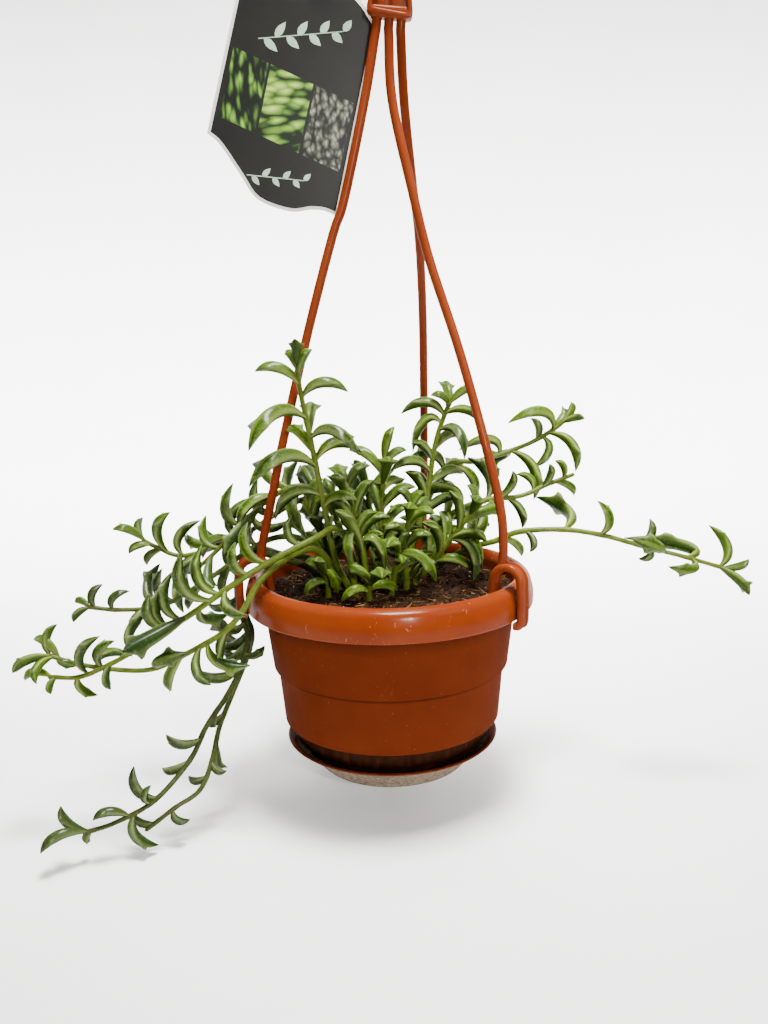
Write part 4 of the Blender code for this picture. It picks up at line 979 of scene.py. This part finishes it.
def makeTie(form):
    turn = Matrix.Rotation(math.radians(form["turn"]), 3, "Y")
    up = form["hole"][1] + form["holeRadius"] - form["tieRadius"] - 0.4
    hole = Vector(form["corner"]) + turn @ Vector((form["hole"][0], 0.0, up))
    neck = headPoint(0.0, -32.0)
    middle = hole.lerp(neck, 0.6)
    # from the card's hole to the neck, round it and back
    knots = [(hole, (0.0, 0.0, 0.0)), (hole, (0.4, -1.5, 0.0)), (hole, (6.0, -2.6, 1.0)),
             (middle, (0.0, -3.2, -1.0)),
             (neck, (-1.0, -3.2, -0.2)), (neck, (2.4, -2.2, 0.3)), (neck, (3.3, 0.0, 0.4)),
             (neck, (2.4, 2.2, 0.3)),
             (neck, (-1.0, 3.2, -0.2)), (middle, (0.0, 4.0, -1.6)), (hole, (6.0, 2.4, 0.6)),
             (hole, (0.4, 1.5, -0.1)),
             (hole, (0.0, 0.0, 0.0))]
    path = smoothPath([start + Vector(offset) for start, offset in knots], 4)[:-1]
    # extruded polypropylene loop: milky and half clear, with a soft gloss
    clear, tree, shader, coords = newMaterial("extruded clear polypropylene", {
        "IOR": 1.49, "Transmission Weight": 0.45, "Roughness": 0.25})
    haze = addNode(tree, "ShaderNodeTexNoise", {"Vector": coords, "Scale": perMm(3)})
    feed(shader, {"Base Color": addNode(tree, "ShaderNodeValToRGB", [haze],
                                        [(0.3, "#d4d4ce"), (0.7, "#e6e6e2")])})
    mesh = rodAlong(path, [form["tieRadius"]] * len(path), 12, clear, closed=True)
    return finish("tag_tie_extruded", mesh, "tag_tie", [clear])


makeLabel(labelForm)
makeTie(labelForm)
print("label and tie made")


# The plant: routes of the stems, and the leaves that stand out on each

# A stem is its foot, its route, its listed leaves and its filling. A leaf is (millimetres back from the
# stem's
# tip, direction of its tip on a clock face seen from the front in degrees, 0 to the right and 90 up, lean
# away from
# the viewer in degrees, length). A filling is (nearest and furthest millimetres from the tip, spacing,
# length):
# there the leaves follow the spiral rule.
stems = {
    "stem_upright": (
        (-16, -12),
        [(-21, -14, 20), (-24, -16, 39), (-27, -19, 59), (-30, -20, 77), (-32, -21, 90), (-32, -22, 96)],
        [(55, 20, -30, 14), (50, 205, -10, 22), (38, 187, -10, 24), (36, 8, 10, 18), (33, 150, 45, 13),
         (27, 345, -5, 20), (26, 125, 30, 11), (19, 203, -15, 22), (11, 8, -5, 18), (6, 160, -10, 18),
         (2, 62, 10, 11), (1.5, 118, -10, 10), (0.5, 92, 0, 12)], None),
    "stem_left_long": (
        (-13.5, -18),
        [(-15, -18, 21), (-17, -18, 31), (-21, -19, 34.5), (-28, -21.5, 31), (-42, -28, 25.5),
         (-56, -34, 18.5),
         (-75, -39, 6.5), (-84, -40, 1.5), (-93, -41, -4.5), (-106, -41, -11.5), (-118, -40, -16.5),
         (-130, -38, -17)],
        [(111, 110, 15, 12), (96, 120, 5, 17), (88, 110, 25, 14), (78, 305, -25, 16), (75, 110, 10, 20),
         (71, 112, -5, 23), (66, 320, 0, 14), (61, 200, -15, 22), (58, 100, -5, 19), (53, 100, 0, 16),
         (52, 112, 15, 16), (37, 75, 0, 14), (26, 270, -10, 9), (16, 70, 0, 17), (12, 300, -10, 11),
         (3, 250, 0, 6),
         (1, 190, 0, 13)], None),
    "stem_left_front": (
        (-21, -10),
        [(-24.5, -10.5, 19), (-30, -13, 24.5), (-37, -19, 24), (-45, -28, 20.5), (-50.5, -33.5, 15),
         (-56, -36, 6),
         (-64, -36, -2), (-78, -35, -10), (-92, -35, -16), (-108, -36, -15), (-122, -36, -12),
         (-130, -36, -9)],
        [(74, 255, 10, 14), (64, 325, -15, 19), (61, 290, -10, 13), (53, 245, -10, 18), (43, 30, -15, 14),
         (21, 65, 0, 14), (19, 15, -10, 13), (5, 340, 15, 7), (4, 145, 10, 13), (2, 240, -15, 13),
         (1, 190, -15, 12), (0.5, 85, 0, 11)], None),
    "stem_left_loop": (
        (-12, 3),
        [(-16, 3, 20), (-24, 4, 38), (-34, 4, 47), (-44, 2, 45), (-54, 0, 38), (-64, -3, 28), (-75, -5, 18)],
        [(72, 105, 20, 18), (63, 125, 20, 17), (54, 250, -20, 16), (47, 140, 20, 16), (40, 215, -15, 19),
         (33, 230, -20, 22), (28, 315, -25, 16), (22, 100, 20, 18), (15, 215, 0, 16), (9, 120, 15, 14),
         (5, 260, -10, 13), (1, 205, 0, 12)], None),
    "stem_left_back": (
        (-10, 10),
        [(-14, 13, 22), (-21, 15, 38), (-37, 16, 39), (-62, 12, 25), (-85, 8, 18), (-97, 8, 22),
         (-102.5, 8, 25)],
        [(84, 115, 20, 18), (72, 95, 20, 16), (60, 110, 10, 18), (50, 255, -10, 17), (42, 65, 5, 20),
         (38, 150, 10, 12), (35, 172, -10, 18), (25, 250, -15, 20), (22, 262, -15, 16), (18, 65, 5, 16),
         (11, 80, 5, 19), (9, 220, -15, 11), (4, 195, 0, 10), (1, 150, -10, 14), (0.5, 105, 15, 9)], None),
    "stem_left_low": (
        (-20, -4),
        [(-26, -5, 20), (-36, -3, 27), (-48, 1, 26), (-60, -1, 20), (-70, -5, 13.5), (-91, -9, 2),
         (-108, -12, 1),
         (-121, -13.5, 3)],
        [(75, 100, 10, 15), (63, 250, -10, 16), (55, 110, 15, 18), (49, 235, -15, 15), (42, 75, 0, 15),
         (34, 102, 0, 15), (29, 106, 20, 14), (23, 240, -10, 9), (10, 50, 0, 10), (3, 75, 0, 10),
         (1, 215, 0, 8),
         (0.5, 160, -10, 7)], None),
    "stem_trail_long": (
        (-27, -3),
        [(-33, -4, 15), (-43, -2, 18), (-55, 1.5, 20), (-62.3, 2, 13.5), (-63, 0, 0), (-60, -5, -8),
         (-58, -10, -14), (-60.3, -18, -22.6), (-65.5, -26, -31.6), (-72.5, -34, -40.5), (-77.8, -42, -50.3),
         (-90, -51, -62), (-104, -56, -68), (-115, -58.5, -70.5)],
        [(132, 110, 10, 14), (120, 200, -15, 14), (108, 150, -10, 15), (100, 235, -15, 16), (94, 20, 0, 9),
         (88, 170, -20, 16), (68, 250, -20, 8), (56, 162, 0, 13), (47, 200, -10, 12), (29, 130, 0, 15),
         (26, 88, 20, 8), (19, 295, -20, 17), (17, 175, 0, 13), (2, 132, 0, 15), (3, 245, 0, 7),
         (0.5, 190, 0, 15)], None),
    "stem_trail_short": (
        (-25, 5),
        [(-32, 5, 16), (-44, 6, 18), (-54.5, 9, 20), (-61.8, 10, 13.5), (-62.6, 7.5, 0), (-60, 3, -8),
         (-57.8, 0, -14), (-58.9, -7, -21), (-63.6, -15, -32), (-68.8, -25, -44), (-71.2, -33, -55),
         (-75, -41, -63.4), (-84, -46, -68), (-94, -51, -74)],
        [(118, 100, 20, 13), (104, 150, -10, 12), (94, 200, -10, 14), (88, 160, 0, 14), (82, 200, 10, 13),
         (56, 215, -10, 7), (44, 268, -15, 15), (36, 330, 0, 7), (30, 190, 0, 8), (12, 320, -10, 8),
         (4, 150, 10, 9), (2, 262, 0, 14)], None),
    "stem_right_long": (
        (15, 11),
        [(23, 11, 12), (34, 10, 18), (45, 9, 21), (55, 8, 25), (72, 6, 26), (88, 3, 24), (103, 0, 20),
         (119, -3, 16), (136, -5, 11)],
        [(104, 110, 10, 16), (92, 290, -20, 12), (82, 285, -10, 8), (66, 125, 40, 12), (51, 93, 0, 15),
         (35, 60, 30, 12), (30, 240, 0, 7), (28, 150, -10, 15), (15, 161, 0, 26), (13, 185, -50, 12),
         (2, 318, 0, 15), (1.5, 95, 0, 16), (0.5, 18, 0, 11)], None),
    "stem_right_high": (
        (7, 17),
        [(12, 18, 22), (18, 20, 38), (27, 22, 52), (40, 24, 53), (60, 26, 59), (72, 28, 65), (77, 28, 69)],
        [(74, 110, 10, 16), (66, 40, 20, 16), (58, 150, 0, 17), (52, 300, -15, 18), (44, 330, 10, 14),
         (32, 170, 15, 18), (29, 210, 10, 13), (27, 300, -10, 19), (15, 95, 25, 9), (12, 256, -20, 14),
         (9, 306, 0, 19), (8, 42, 5, 13), (6, 168, 0, 21), (2, 15, -10, 10), (0.5, 60, 0, 9)], None),
    "stem_right_mid": (
        (10, 6), [(16, 7, 20), (23, 8, 31), (39, 10, 38), (56, 14, 39), (67, 16, 43), (79, 18, 47)],
        [(84, 30, -20, 15), (74, 130, 10, 16), (66, 330, -20, 17), (60, 95, 10, 17), (53, 280, -25, 17),
         (46, 255, -20, 16), (40, 118, 15, 15), (35, 60, 15, 14), (31, 300, -15, 15), (19, 130, 0, 10),
         (15, 85, 10, 11), (9, 328, -10, 12), (5, 110, 10, 9), (1, 20, 0, 10), (51, 155, -10, 24)], None),
    "stem_centre_tall": (
        (4, 1), [(10, 3, 22), (16, 5, 40), (20, 7, 62), (24, 8, 74), (26.5, 8, 79.5)],
        [(56, 200, -20, 18), (49, 30, -15, 18), (42, 120, 20, 16), (36, 340, 10, 16), (30, 170, -15, 17),
         (25, 135, 10, 12), (21, 20, 20, 13), (12, 315, -15, 14), (9, 222, -5, 17), (6, 174, 0, 18),
         (5, 350, 5, 14),
         (3, 95, 15, 11), (1.5, 145, 10, 9), (0.5, 33, 0, 12)], None),
    "crown_stem_1": (
        (-8, -21), [(-9, -22, 16), (-10, -23, 27), (-13, -23, 38)],
        [(14, 115, -20, 22), (9, 310, -25, 15), (5, 255, -10, 11)], (1, 12, 3.6, 13)),
    "crown_stem_2": (
        (-8, -11), [(-10, -11, 22), (-13, -10, 38), (-16, -10, 52)], [(27, 205, -20, 15)], (1, 32, 3.5, 19)),
    "crown_stem_3": ((-2, -11), [(-3, -9, 25), (-2, -6, 42), (-1, -4, 58)], [(0.5, 75, 0, 15)],
                     (1, 38, 3.5, 19)),
    "crown_stem_4": (
        (7, -10), [(7, -12, 22), (8, -14, 34), (9.5, -14, 42)],
        [(1, 110, -15, 10), (2, 55, -15, 9), (8, 30, 0, 12)],
        (4, 30, 3.6, 17)),
    "crown_stem_5": ((11, -3), [(19, -5, 18), (28, -6, 29), (36, -7, 40)], [(18, 300, -25, 18)],
                     (1, 34, 4.0, 19)),
    "crown_stem_6": ((-20, 4), [(-24, 2, 20), (-29, -2, 32), (-33, -6, 43)], [], (1, 34, 4.4, 18)),
    "crown_stem_7": (
        (1, -17), [(2.5, -19, 16), (4, -21, 25)], [(2, 328, -15, 18), (0.5, 50, -25, 10), (1, 125, -30, 8)],
        (5, 14, 4.0, 12)),
    "crown_stem_8": ((-3, 9), [(-4, 9, 22), (-7, 8, 36), (-9, 8, 48)], [], (1, 36, 4.3, 19)),
    "back_stem_1": (
        (-6, 24), [(-9, 30, 20), (-15, 39, 31), (-24, 50, 31), (-32, 60, 20), (-36, 66, 4)], [],
        (2, 70, 7.5, 18)),
    "back_stem_2": (
        (20, 24), [(25, 29, 20), (31, 37, 29), (40, 46, 28), (47, 54, 18)], [], (2, 50, 7.5, 18)),
    "sprout_left": (
        (-24, -19), [(-24, -20, 13), (-25, -21, 18)],
        [(6, 200, -20, 10), (5, 60, 30, 9), (3, 110, -10, 10), (1, 300, -30, 10), (0.5, 150, 0, 9)], None),
    "sprout_front": (
        (-8, -26), [(-8, -27, 11), (-7, -28, 14)],
        [(4, 190, -20, 11), (3, 10, -10, 12), (1, 60, -30, 10), (0.5, 120, 20, 9)], None),
}
plantForm = {
    "spiralLean": 30.0, "goldenTurn": 137.5, "rootDepth": 4.0, "straightTo": 8.0, "segment": 9.0,
    "leafClearance": 0.45, "fullLeaf": 20.0, "stemSides": 12, "rootRadius": 1.5, "taper": 0.65,
    "potLevels": [-69.5, -57.0, -26.0, -0.5, 0.0, 12.2], "potRadii": [32.0, 44.3, 48.6, 52.0, 59.2, 59.2],
    "potInside": 51.0, "soilTop": 6.8,
}
# how much darker than the rest the leaves of a stem are, from 0 to 1: painted shade on stems that hang under
# the pot, lie under the left clump or sit at the back
stemPaintedShade = {"stem_trail_long": 0.55, "stem_trail_short": 0.6, "stem_left_low": 0.4, "back_stem_1": 0.3,
             "back_stem_2": 0.3, "crown_stem_8": 0.25, "stem_left_back": 0.15, "stem_left_loop": 0.1}


def stemRadius(share):
    return plantForm["rootRadius"] - plantForm["taper"] * share


def lengthsAlong(path):
    lengths = [0.0]
    for here, there in zip(path, path[1:]):
        lengths.append(lengths[-1] + (there - here).length)
    return lengths


def pointAlong(path, lengths, distance):
    for index in range(1, len(path)):
        if lengths[index] >= distance or index == len(path) - 1:
            span = lengths[index] - lengths[index - 1]
            return path[index - 1].lerp(path[index], (distance - lengths[index - 1]) / span)


def stemPaths(stem, form):
    # the smooth line of the stem, and the same line in even steps, which carries the leaves
    foot, route = stem[:2]
    root = Vector((*foot, -form["rootDepth"]))
    smooth = smoothPath([Vector(point) for point in [(*foot, form["straightTo"]), *route]], 6)
    lengths = lengthsAlong(smooth)
    count = max(3, round(lengths[-1] / form["segment"]))
    even = [pointAlong(smooth, lengths, lengths[-1] * step / count) for step in range(count + 1)]
    return [root, *smooth], [root, *even]


def backFromTip(path, distance):
    for there, here in zip(reversed(path), reversed(path[:-1])):
        span = (there - here).length
        if distance <= span:
            return there.lerp(here, distance / span), (there - here).normalized()
        distance -= span
    return path[0], (path[1] - path[0]).normalized()


def clockDirection(clock, lean):
    clock, lean = math.radians(clock), math.radians(lean)
    return Vector((math.cos(clock) * math.cos(lean), math.sin(lean), math.sin(clock) * math.cos(lean)))


def leafFrame(base, along, towards, length, roll):
    # the middle and last control points of the leaf's arched midrib, and the direction of its width
    lift = (1.1 * along + towards).normalized()
    if lift.cross(towards).length < 0.25:
        lift = (towards + 0.6 * upright).normalized()
    knee = base + 0.6 * length * lift
    tip = base + length * towards
    width = (tip - base).cross(knee - base)
    if width.length < 0.01:
        width = Vector((0.0, 1.0, 0.0)).cross(towards)
    return knee, tip, Matrix.Rotation(roll, 3, towards) @ width.normalized()


def leafProbe(base, along, towards, length, roll):
    # balls that fill the leaf and its fins, to keep it clear of its neighbours
    knee, tip, width = leafFrame(base, along, towards, length, roll)
    size = 0.5 + 0.5 * length / plantForm["fullLeaf"]
    balls = []
    for share, out, radius in ((0.2, 0, 1.6), (0.35, 0, 2.0), (0.5, 0, 2.3), (0.62, 0, 2.4), (0.75, 0, 2.1),
                               (0.88, 0, 1.4), (1.0, 0, 0.5), (0.5, 1.9, 1.3), (0.64, 2.8, 1.3),
                               (0.74, 4.0, 1.0)):
        point = base.lerp(knee, share).lerp(knee.lerp(tip, share), share)
        balls += [(point + width * far * size, radius * size) for far in (out, -out)]
    return balls


class Space:
    # what is already placed, as balls with an owner
    def __init__(self):
        self.centres = np.zeros((0, 3))
        self.radii = np.zeros(0)
        self.owners = np.zeros(0, int)

    def add(self, balls, owner):
        self.centres = np.vstack([self.centres, [tuple(centre) for centre, _ in balls]])
        self.radii = np.concatenate([self.radii, [radius for _, radius in balls]])
        self.owners = np.concatenate([self.owners, [owner] * len(balls)])

    def isClear(self, balls, owner):
        others = self.owners != owner
        centres, radii = self.centres[others], self.radii[others]
        for centre, radius in balls:
            if potGap(centre) < radius + plantForm["leafClearance"]:
                return False
            far = np.linalg.norm(centres - np.array(tuple(centre)), axis=1)
            if (far < radii + radius + plantForm["leafClearance"]).any():
                return False
        return True


def potGap(point):
    # roughly how far a point is from the pot, its lip, its saucer and the soil
    levels, inside = plantForm["potLevels"], plantForm["potInside"]
    radius = math.hypot(point.x, point.y)
    above = point.z - levels[-1]
    if radius < inside:
        return min(point.z - plantForm["soilTop"], max(above, inside - radius))
    wall = float(np.interp(point.z, levels, plantForm["potRadii"]))
    return max(above, radius - wall, levels[0] - point.z)


def ballsAlong(path, radius):
    balls = []
    for here, there in zip(path, path[1:]):
        count = max(1, math.ceil((there - here).length / 1.5))
        balls += [(here.lerp(there, step / count), radius) for step in range(count + 1)]
    return balls


def hangerBalls(name, form):
    top, route = rodPath(name, form)
    balls = ballsAlong([*top[:2], *route], form["rodRadius"])
    first, _, *rest = clipLine(form, 9)
    outward, across = clipDirections(name)
    for offset in (-2.0, 0.0, 2.0):
        line = [outward * radius + across * offset + Vector((0.0, 0.0, height)) for radius, height,
                _ in [first, *rest]]
        balls += ballsAlong(line, 0.6 * form["clipThickness"])
    return balls


def spiralLeaves(path, filling, rng):
    # leaves set round the stem in a spiral, leaning to the tip and up to the light
    nearest, furthest, spacing, length = filling
    found = []
    back = furthest
    turn = rng.uniform(0.0, 2 * math.pi)
    while back >= nearest:
        _, along = backFromTip(path, back)
        side = along.cross(upright)
        side = side.normalized() if side.length > 0.2 else Vector((1.0, 0.0, 0.0))
        up = side.cross(along).normalized()
        outward = side * math.cos(turn) + up * math.sin(turn)
        towards = (outward + 0.4 * along + 0.35 * upright).normalized()
        young = min(1.0, 0.5 + back / 16.0)
        found.append((back, towards, length * young * rng.uniform(0.85, 1.12)))
        turn += math.radians(plantForm["goldenTurn"]) + rng.uniform(-0.2, 0.2)
        back -= spacing * rng.uniform(0.85, 1.15)
    return found


def listedLeaf(index, back, clock, lean, length):
    # a leaf as listed, swung to the front or back in turn round the stem's spiral, its outline kept
    lean += plantForm["spiralLean"] * math.sin(index * math.radians(plantForm["goldenTurn"]))
    return back, clockDirection(clock, lean), length / math.cos(math.radians(lean))


def settleLeaves(stem, owner, path, space):
    # every leaf of a stem, each turned or shortened a little where it would touch another piece
    _, _, listed, filling = stem
    rng = random.Random(owner)
    wanted = [listedLeaf(index, *leaf) for index, leaf in enumerate(listed)]
    if filling:
        wanted += spiralLeaves(path, filling, rng)
    leans = [(0, 0), (15, 0), (-15, 0), (0, 20), (0, -20), (30, 0), (-30, 0), (0, 45), (0, -45), (25, 30),
             (25, -30),
             (-25, 30), (-25, -30)]
    settled = []
    for back, towards, length in wanted:
        base, along = backFromTip(path, back)
        roll = rng.uniform(-0.35, 0.35)
        side = towards.cross(along)
        side = side.normalized() if side.length > 0.1 else Vector((0.0, 1.0, 0.0))
        for shrink, (lean, turn) in [(shrink, lean) for shrink in (1.0, 0.85, 0.7) for lean in leans]:
            aim = Matrix.Rotation(math.radians(turn), 3, along) @ (
                Matrix.Rotation(math.radians(lean), 3, side) @ towards)
            balls = leafProbe(base, along, aim, length * shrink, roll)
            if space.isClear(balls, owner):
                space.add(balls, owner)
                settled.append((back, base, along, aim, length * shrink, roll))
                break
    return settled


leafShape = {
    "rings": 22, "around": 16, "length": 20.0,
    # share of the length, half width, rise of the back and depth of the belly, on a 20 mm leaf
    "body": [(0.0, 0.8, 0.75, 0.6), (0.06, 0.95, 0.95, 0.7), (0.16, 1.5, 1.6, 1.1), (0.28, 2.05, 2.25, 1.5),
             (0.42, 2.4, 2.65, 1.7), (0.58, 2.65, 2.8, 1.8), (0.72, 2.75, 2.6, 1.7), (0.82, 2.3, 2.1, 1.4),
             (0.91, 1.4, 1.3, 0.9), (0.97, 0.7, 0.65, 0.45), (1.0, 0.2, 0.2, 0.15)],
    "keel": 1.3,  # how far the section is from round towards a lozenge
    "finAt": 0.73, "finReach": 2.0, "finSpread": 0.06, "finSweep": 1.0, "finLift": 0.7, "hook": 0.9,
}


def makeLeafTemplate(form):
    # one straight leaf as a grid of rings; leafForm is (across, up, share of the length), leafFin what the
    # fins add
    starts, *widths = np.array(form["body"]).T
    corners, forms, fins, edges, sides = [], [], [], [], []
    rings, around = form["rings"], form["around"]
    for ring in range(rings):
        share = ring / (rings - 1)
        share += 0.06 * math.sin(2 * math.pi * share) * (1 - share)
        wide, rise, fall = [float(np.interp(share, starts, width)) for width in widths]
        bulge = math.exp(-((share - form["finAt"]) / form["finSpread"]) ** 2)
        hook = form["hook"] * max(0.0, (share - 0.7) / 0.3) ** 2
        for step in range(around):
            turn = 2 * math.pi * step / around
            out, up = [math.copysign(abs(part) ** form["keel"], part) for part in (math.cos(turn),
                                                                                   math.sin(turn))]
            spike = bulge * abs(out) ** 7 * mm
            x, y = wide * out * mm, ((rise if up > 0 else fall) * up - hook) * mm
            corners.append((x, y, share * form["length"] * mm))
            forms.append((x, y, share))
            fins.append((math.copysign(form["finReach"] * spike, out), form["finLift"] * spike,
                         form["finSweep"] * spike))
            edges.append(abs(out) ** 8)
            sides.append(math.sin(turn))
    grid = evenRings(rings, around)
    mesh = meshOf(corners, [*ringFaces(grid), grid[0][::-1], grid[-1]])
    for name, values in (("leafForm", forms), ("leafFin", fins), ("leafEdge", edges), ("leafSide", sides)):
        addNumbers(mesh, name, values)
    return mesh


def leafyStemTree():
    # sweeps the stem along its line, and bends one leaf template along the arched midrib of every leaf point
    tree, given = newTree("leafyStem", {"Leaf": "Object", "Stem sides": "Int", "Plumpness": "Float",
                                        "Material": "Material"})
    named = {}
    for name in ("isLeaf", "leafSize", "finSize", "leafKnee", "leafTip", "leafFoot", "leafWidth", "leafForm",
                 "leafFin"):
        kind = "FLOAT" if name in ("isLeaf", "leafSize", "finSize") else "FLOAT_VECTOR"
        named[name] = addNode(tree, "GeometryNodeInputNamedAttribute", {"Name": name}, data_type=kind)
    isLeaf = addNode(tree, "FunctionNodeCompare", [named["isLeaf"], 0.5], operation="GREATER_THAN")
    split = addNode(tree, "GeometryNodeSeparateGeometry", [given["Geometry"], isLeaf])
    stem = sweepRound(tree, split.outputs["Inverted"], given["Stem sides"])
    leaf = addNode(tree, "GeometryNodeObjectInfo", {"Object": given["Leaf"]}).outputs["Geometry"]
    leaves = addNode(tree, "GeometryNodeInstanceOnPoints", {"Points": split, "Instance": leaf})
    real = addNode(tree, "GeometryNodeRealizeInstances", [leaves])
    form = addNode(tree, "ShaderNodeSeparateXYZ", [named["leafForm"]]).outputs
    fin = addNode(tree, "ShaderNodeSeparateXYZ", [named["leafFin"]]).outputs
    # the midrib by halving: foot to knee, knee to tip, then between those two
    lower, upper = [
        addNode(tree, "ShaderNodeMix", {0: form["Z"], 4: named[start], 5: named[end]},
                data_type="VECTOR").outputs[1]
        for start, end in (("leafFoot", "leafKnee"), ("leafKnee", "leafTip"))]
    spot = addNode(tree, "ShaderNodeMix", {0: form["Z"], 4: lower, 5: upper}, data_type="VECTOR").outputs[1]
    step = addNode(tree, "ShaderNodeVectorMath", [upper, lower], operation="SUBTRACT")
    ahead = addNode(tree, "ShaderNodeVectorMath", [step], operation="NORMALIZE")
    slant = addNode(tree, "ShaderNodeVectorMath", [named["leafWidth"], ahead], operation="PROJECT")
    square = addNode(tree, "ShaderNodeVectorMath", [named["leafWidth"], slant], operation="SUBTRACT")
    side = addNode(tree, "ShaderNodeVectorMath", [square], operation="NORMALIZE")
    up = addNode(tree, "ShaderNodeVectorMath", [side, ahead], operation="CROSS_PRODUCT")
    stout = addNode(tree, "ShaderNodeMath", [named["leafSize"], given["Plumpness"]], operation="MULTIPLY")
    finned = addNode(tree, "ShaderNodeMath", [named["finSize"], stout], operation="MULTIPLY")
    for direction, body, grown in ((side, form["X"], fin["X"]), (up, form["Y"], fin["Y"]),
                                   (ahead, 0.0, fin["Z"])):
        far = addNode(tree, "ShaderNodeMath", [grown, finned], operation="MULTIPLY")
        far = addNode(tree, "ShaderNodeMath", [body, stout, far], operation="MULTIPLY_ADD")
        shift = addNode(tree, "ShaderNodeVectorMath", {0: direction, "Scale": far}, operation="SCALE")
        spot = addNode(tree, "ShaderNodeVectorMath", [spot, shift], operation="ADD")
    whole = addNode(tree, "GeometryNodeJoinGeometry")
    feed(whole, [addNode(tree, "GeometryNodeSetPosition", {0: real, "Position": spot})])
    feed(whole, [stem])
    smooth = addNode(tree, "GeometryNodeSetShadeSmooth", {0: whole, "Shade Smooth": True})
    return endTree(tree, smooth, given["Material"])


def makeLeafyStem(name, smooth, leaves, template, tree):
    rng = random.Random(name)
    lengths = lengthsAlong(smooth)
    total = lengths[-1]
    # the stem's painted shade darkens its leaves and the stem itself
    tone = stemPaintedShade.get(name, 0.0)
    tipPoint = smooth[-1] + (smooth[-1] - smooth[-2]).normalized() * 0.7
    nowhere = dict.fromkeys(("leafKnee", "leafTip", "leafFoot", "leafWidth"), Vector())
    points, rows = [], []
    for point, along in zip([*smooth, tipPoint], [*lengths, total]):
        # the stem swells at its leaves, and its tip is closed small
        swell = sum(math.exp(-(((total - along) - back) / 1.8) ** 2) for back, *_ in leaves)
        girth = stemRadius(along / total) * (1 + 0.12 * min(1.0, swell)) if point is not tipPoint else 0.35
        points.append(place(point))
        rows.append({**nowhere, "isLeaf": 0.0, "girth": girth * mm, "leafSize": 0.0, "finSize": 0.0,
                     "leafShade": 0.62 - tone, "youth": max(0.0, 1 - (total - along) / 25.0),
                     "stemShare": along / total})
    edges = [(i, i + 1) for i in range(len(points) - 1)]
    for back, base, along, aim, length, roll in leaves:
        knee, tip, width = leafFrame(base, along, aim, length, roll)
        ahead = (tip - base).normalized()
        side = (width - ahead * width.dot(ahead)).normalized()
        if side.cross(ahead).dot(knee - (base + tip) / 2) < 0:
            width = -width
        points.append(place(base))
        rows.append({"isLeaf": 1.0, "girth": 0.0, "leafKnee": place(knee), "leafTip": place(tip),
                     "leafFoot": place(base), "leafWidth": width,
                     "leafSize": 0.5 + 0.5 * length / plantForm["fullLeaf"],
                     "finSize": min(1.15, max(0.25, (length - 6.0) / 9.0)) * rng.uniform(0.75, 1.15),
                     "leafShade": min(1.0, max(0.0, rng.uniform(0.3, 0.9) - tone)),
                     "youth": max(0.0, 1 - back / 22.0) * rng.uniform(0.6, 1.0), "stemShare": 0.0})
    mesh = meshOf(points, [], edges)
    for key in rows[0]:
        addNumbers(mesh, key, [row[key] for row in rows])
    grown = grow(mesh, tree, {"Leaf": template, "Stem sides": plantForm["stemSides"], "Plumpness": 1.0,
                              "Material": leafFlesh})
    for spent in (*nowhere, "isLeaf", "girth", "leafFin", "leafSize", "finSize"):
        if spent in grown.attributes:
            grown.attributes.remove(grown.attributes[spent])
    return finish(name + "_grown", grown, name, [leafFlesh])


def makePlant():
    paths = {name: stemPaths(stem, plantForm) for name, stem in stems.items()}
    space = Space()
    for name in clips:
        space.add(hangerBalls(name, hangerForm), -1)
    for owner, (smooth, even) in enumerate(paths.values()):
        space.add(ballsAlong(even, stemRadius(0.3)), owner)
    template = addObject("leaf_template", makeLeafTemplate(leafShape))
    tree = leafyStemTree()
    faces = 0
    for owner, (name, (smooth, even)) in enumerate(paths.items()):
        leaves = settleLeaves(stems[name], owner, even, space)
        faces += len(makeLeafyStem(name, smooth, leaves, template, tree).data.polygons)
    bpy.data.objects.remove(template)
    print("plant grown:", faces, "faces")


makePlant()
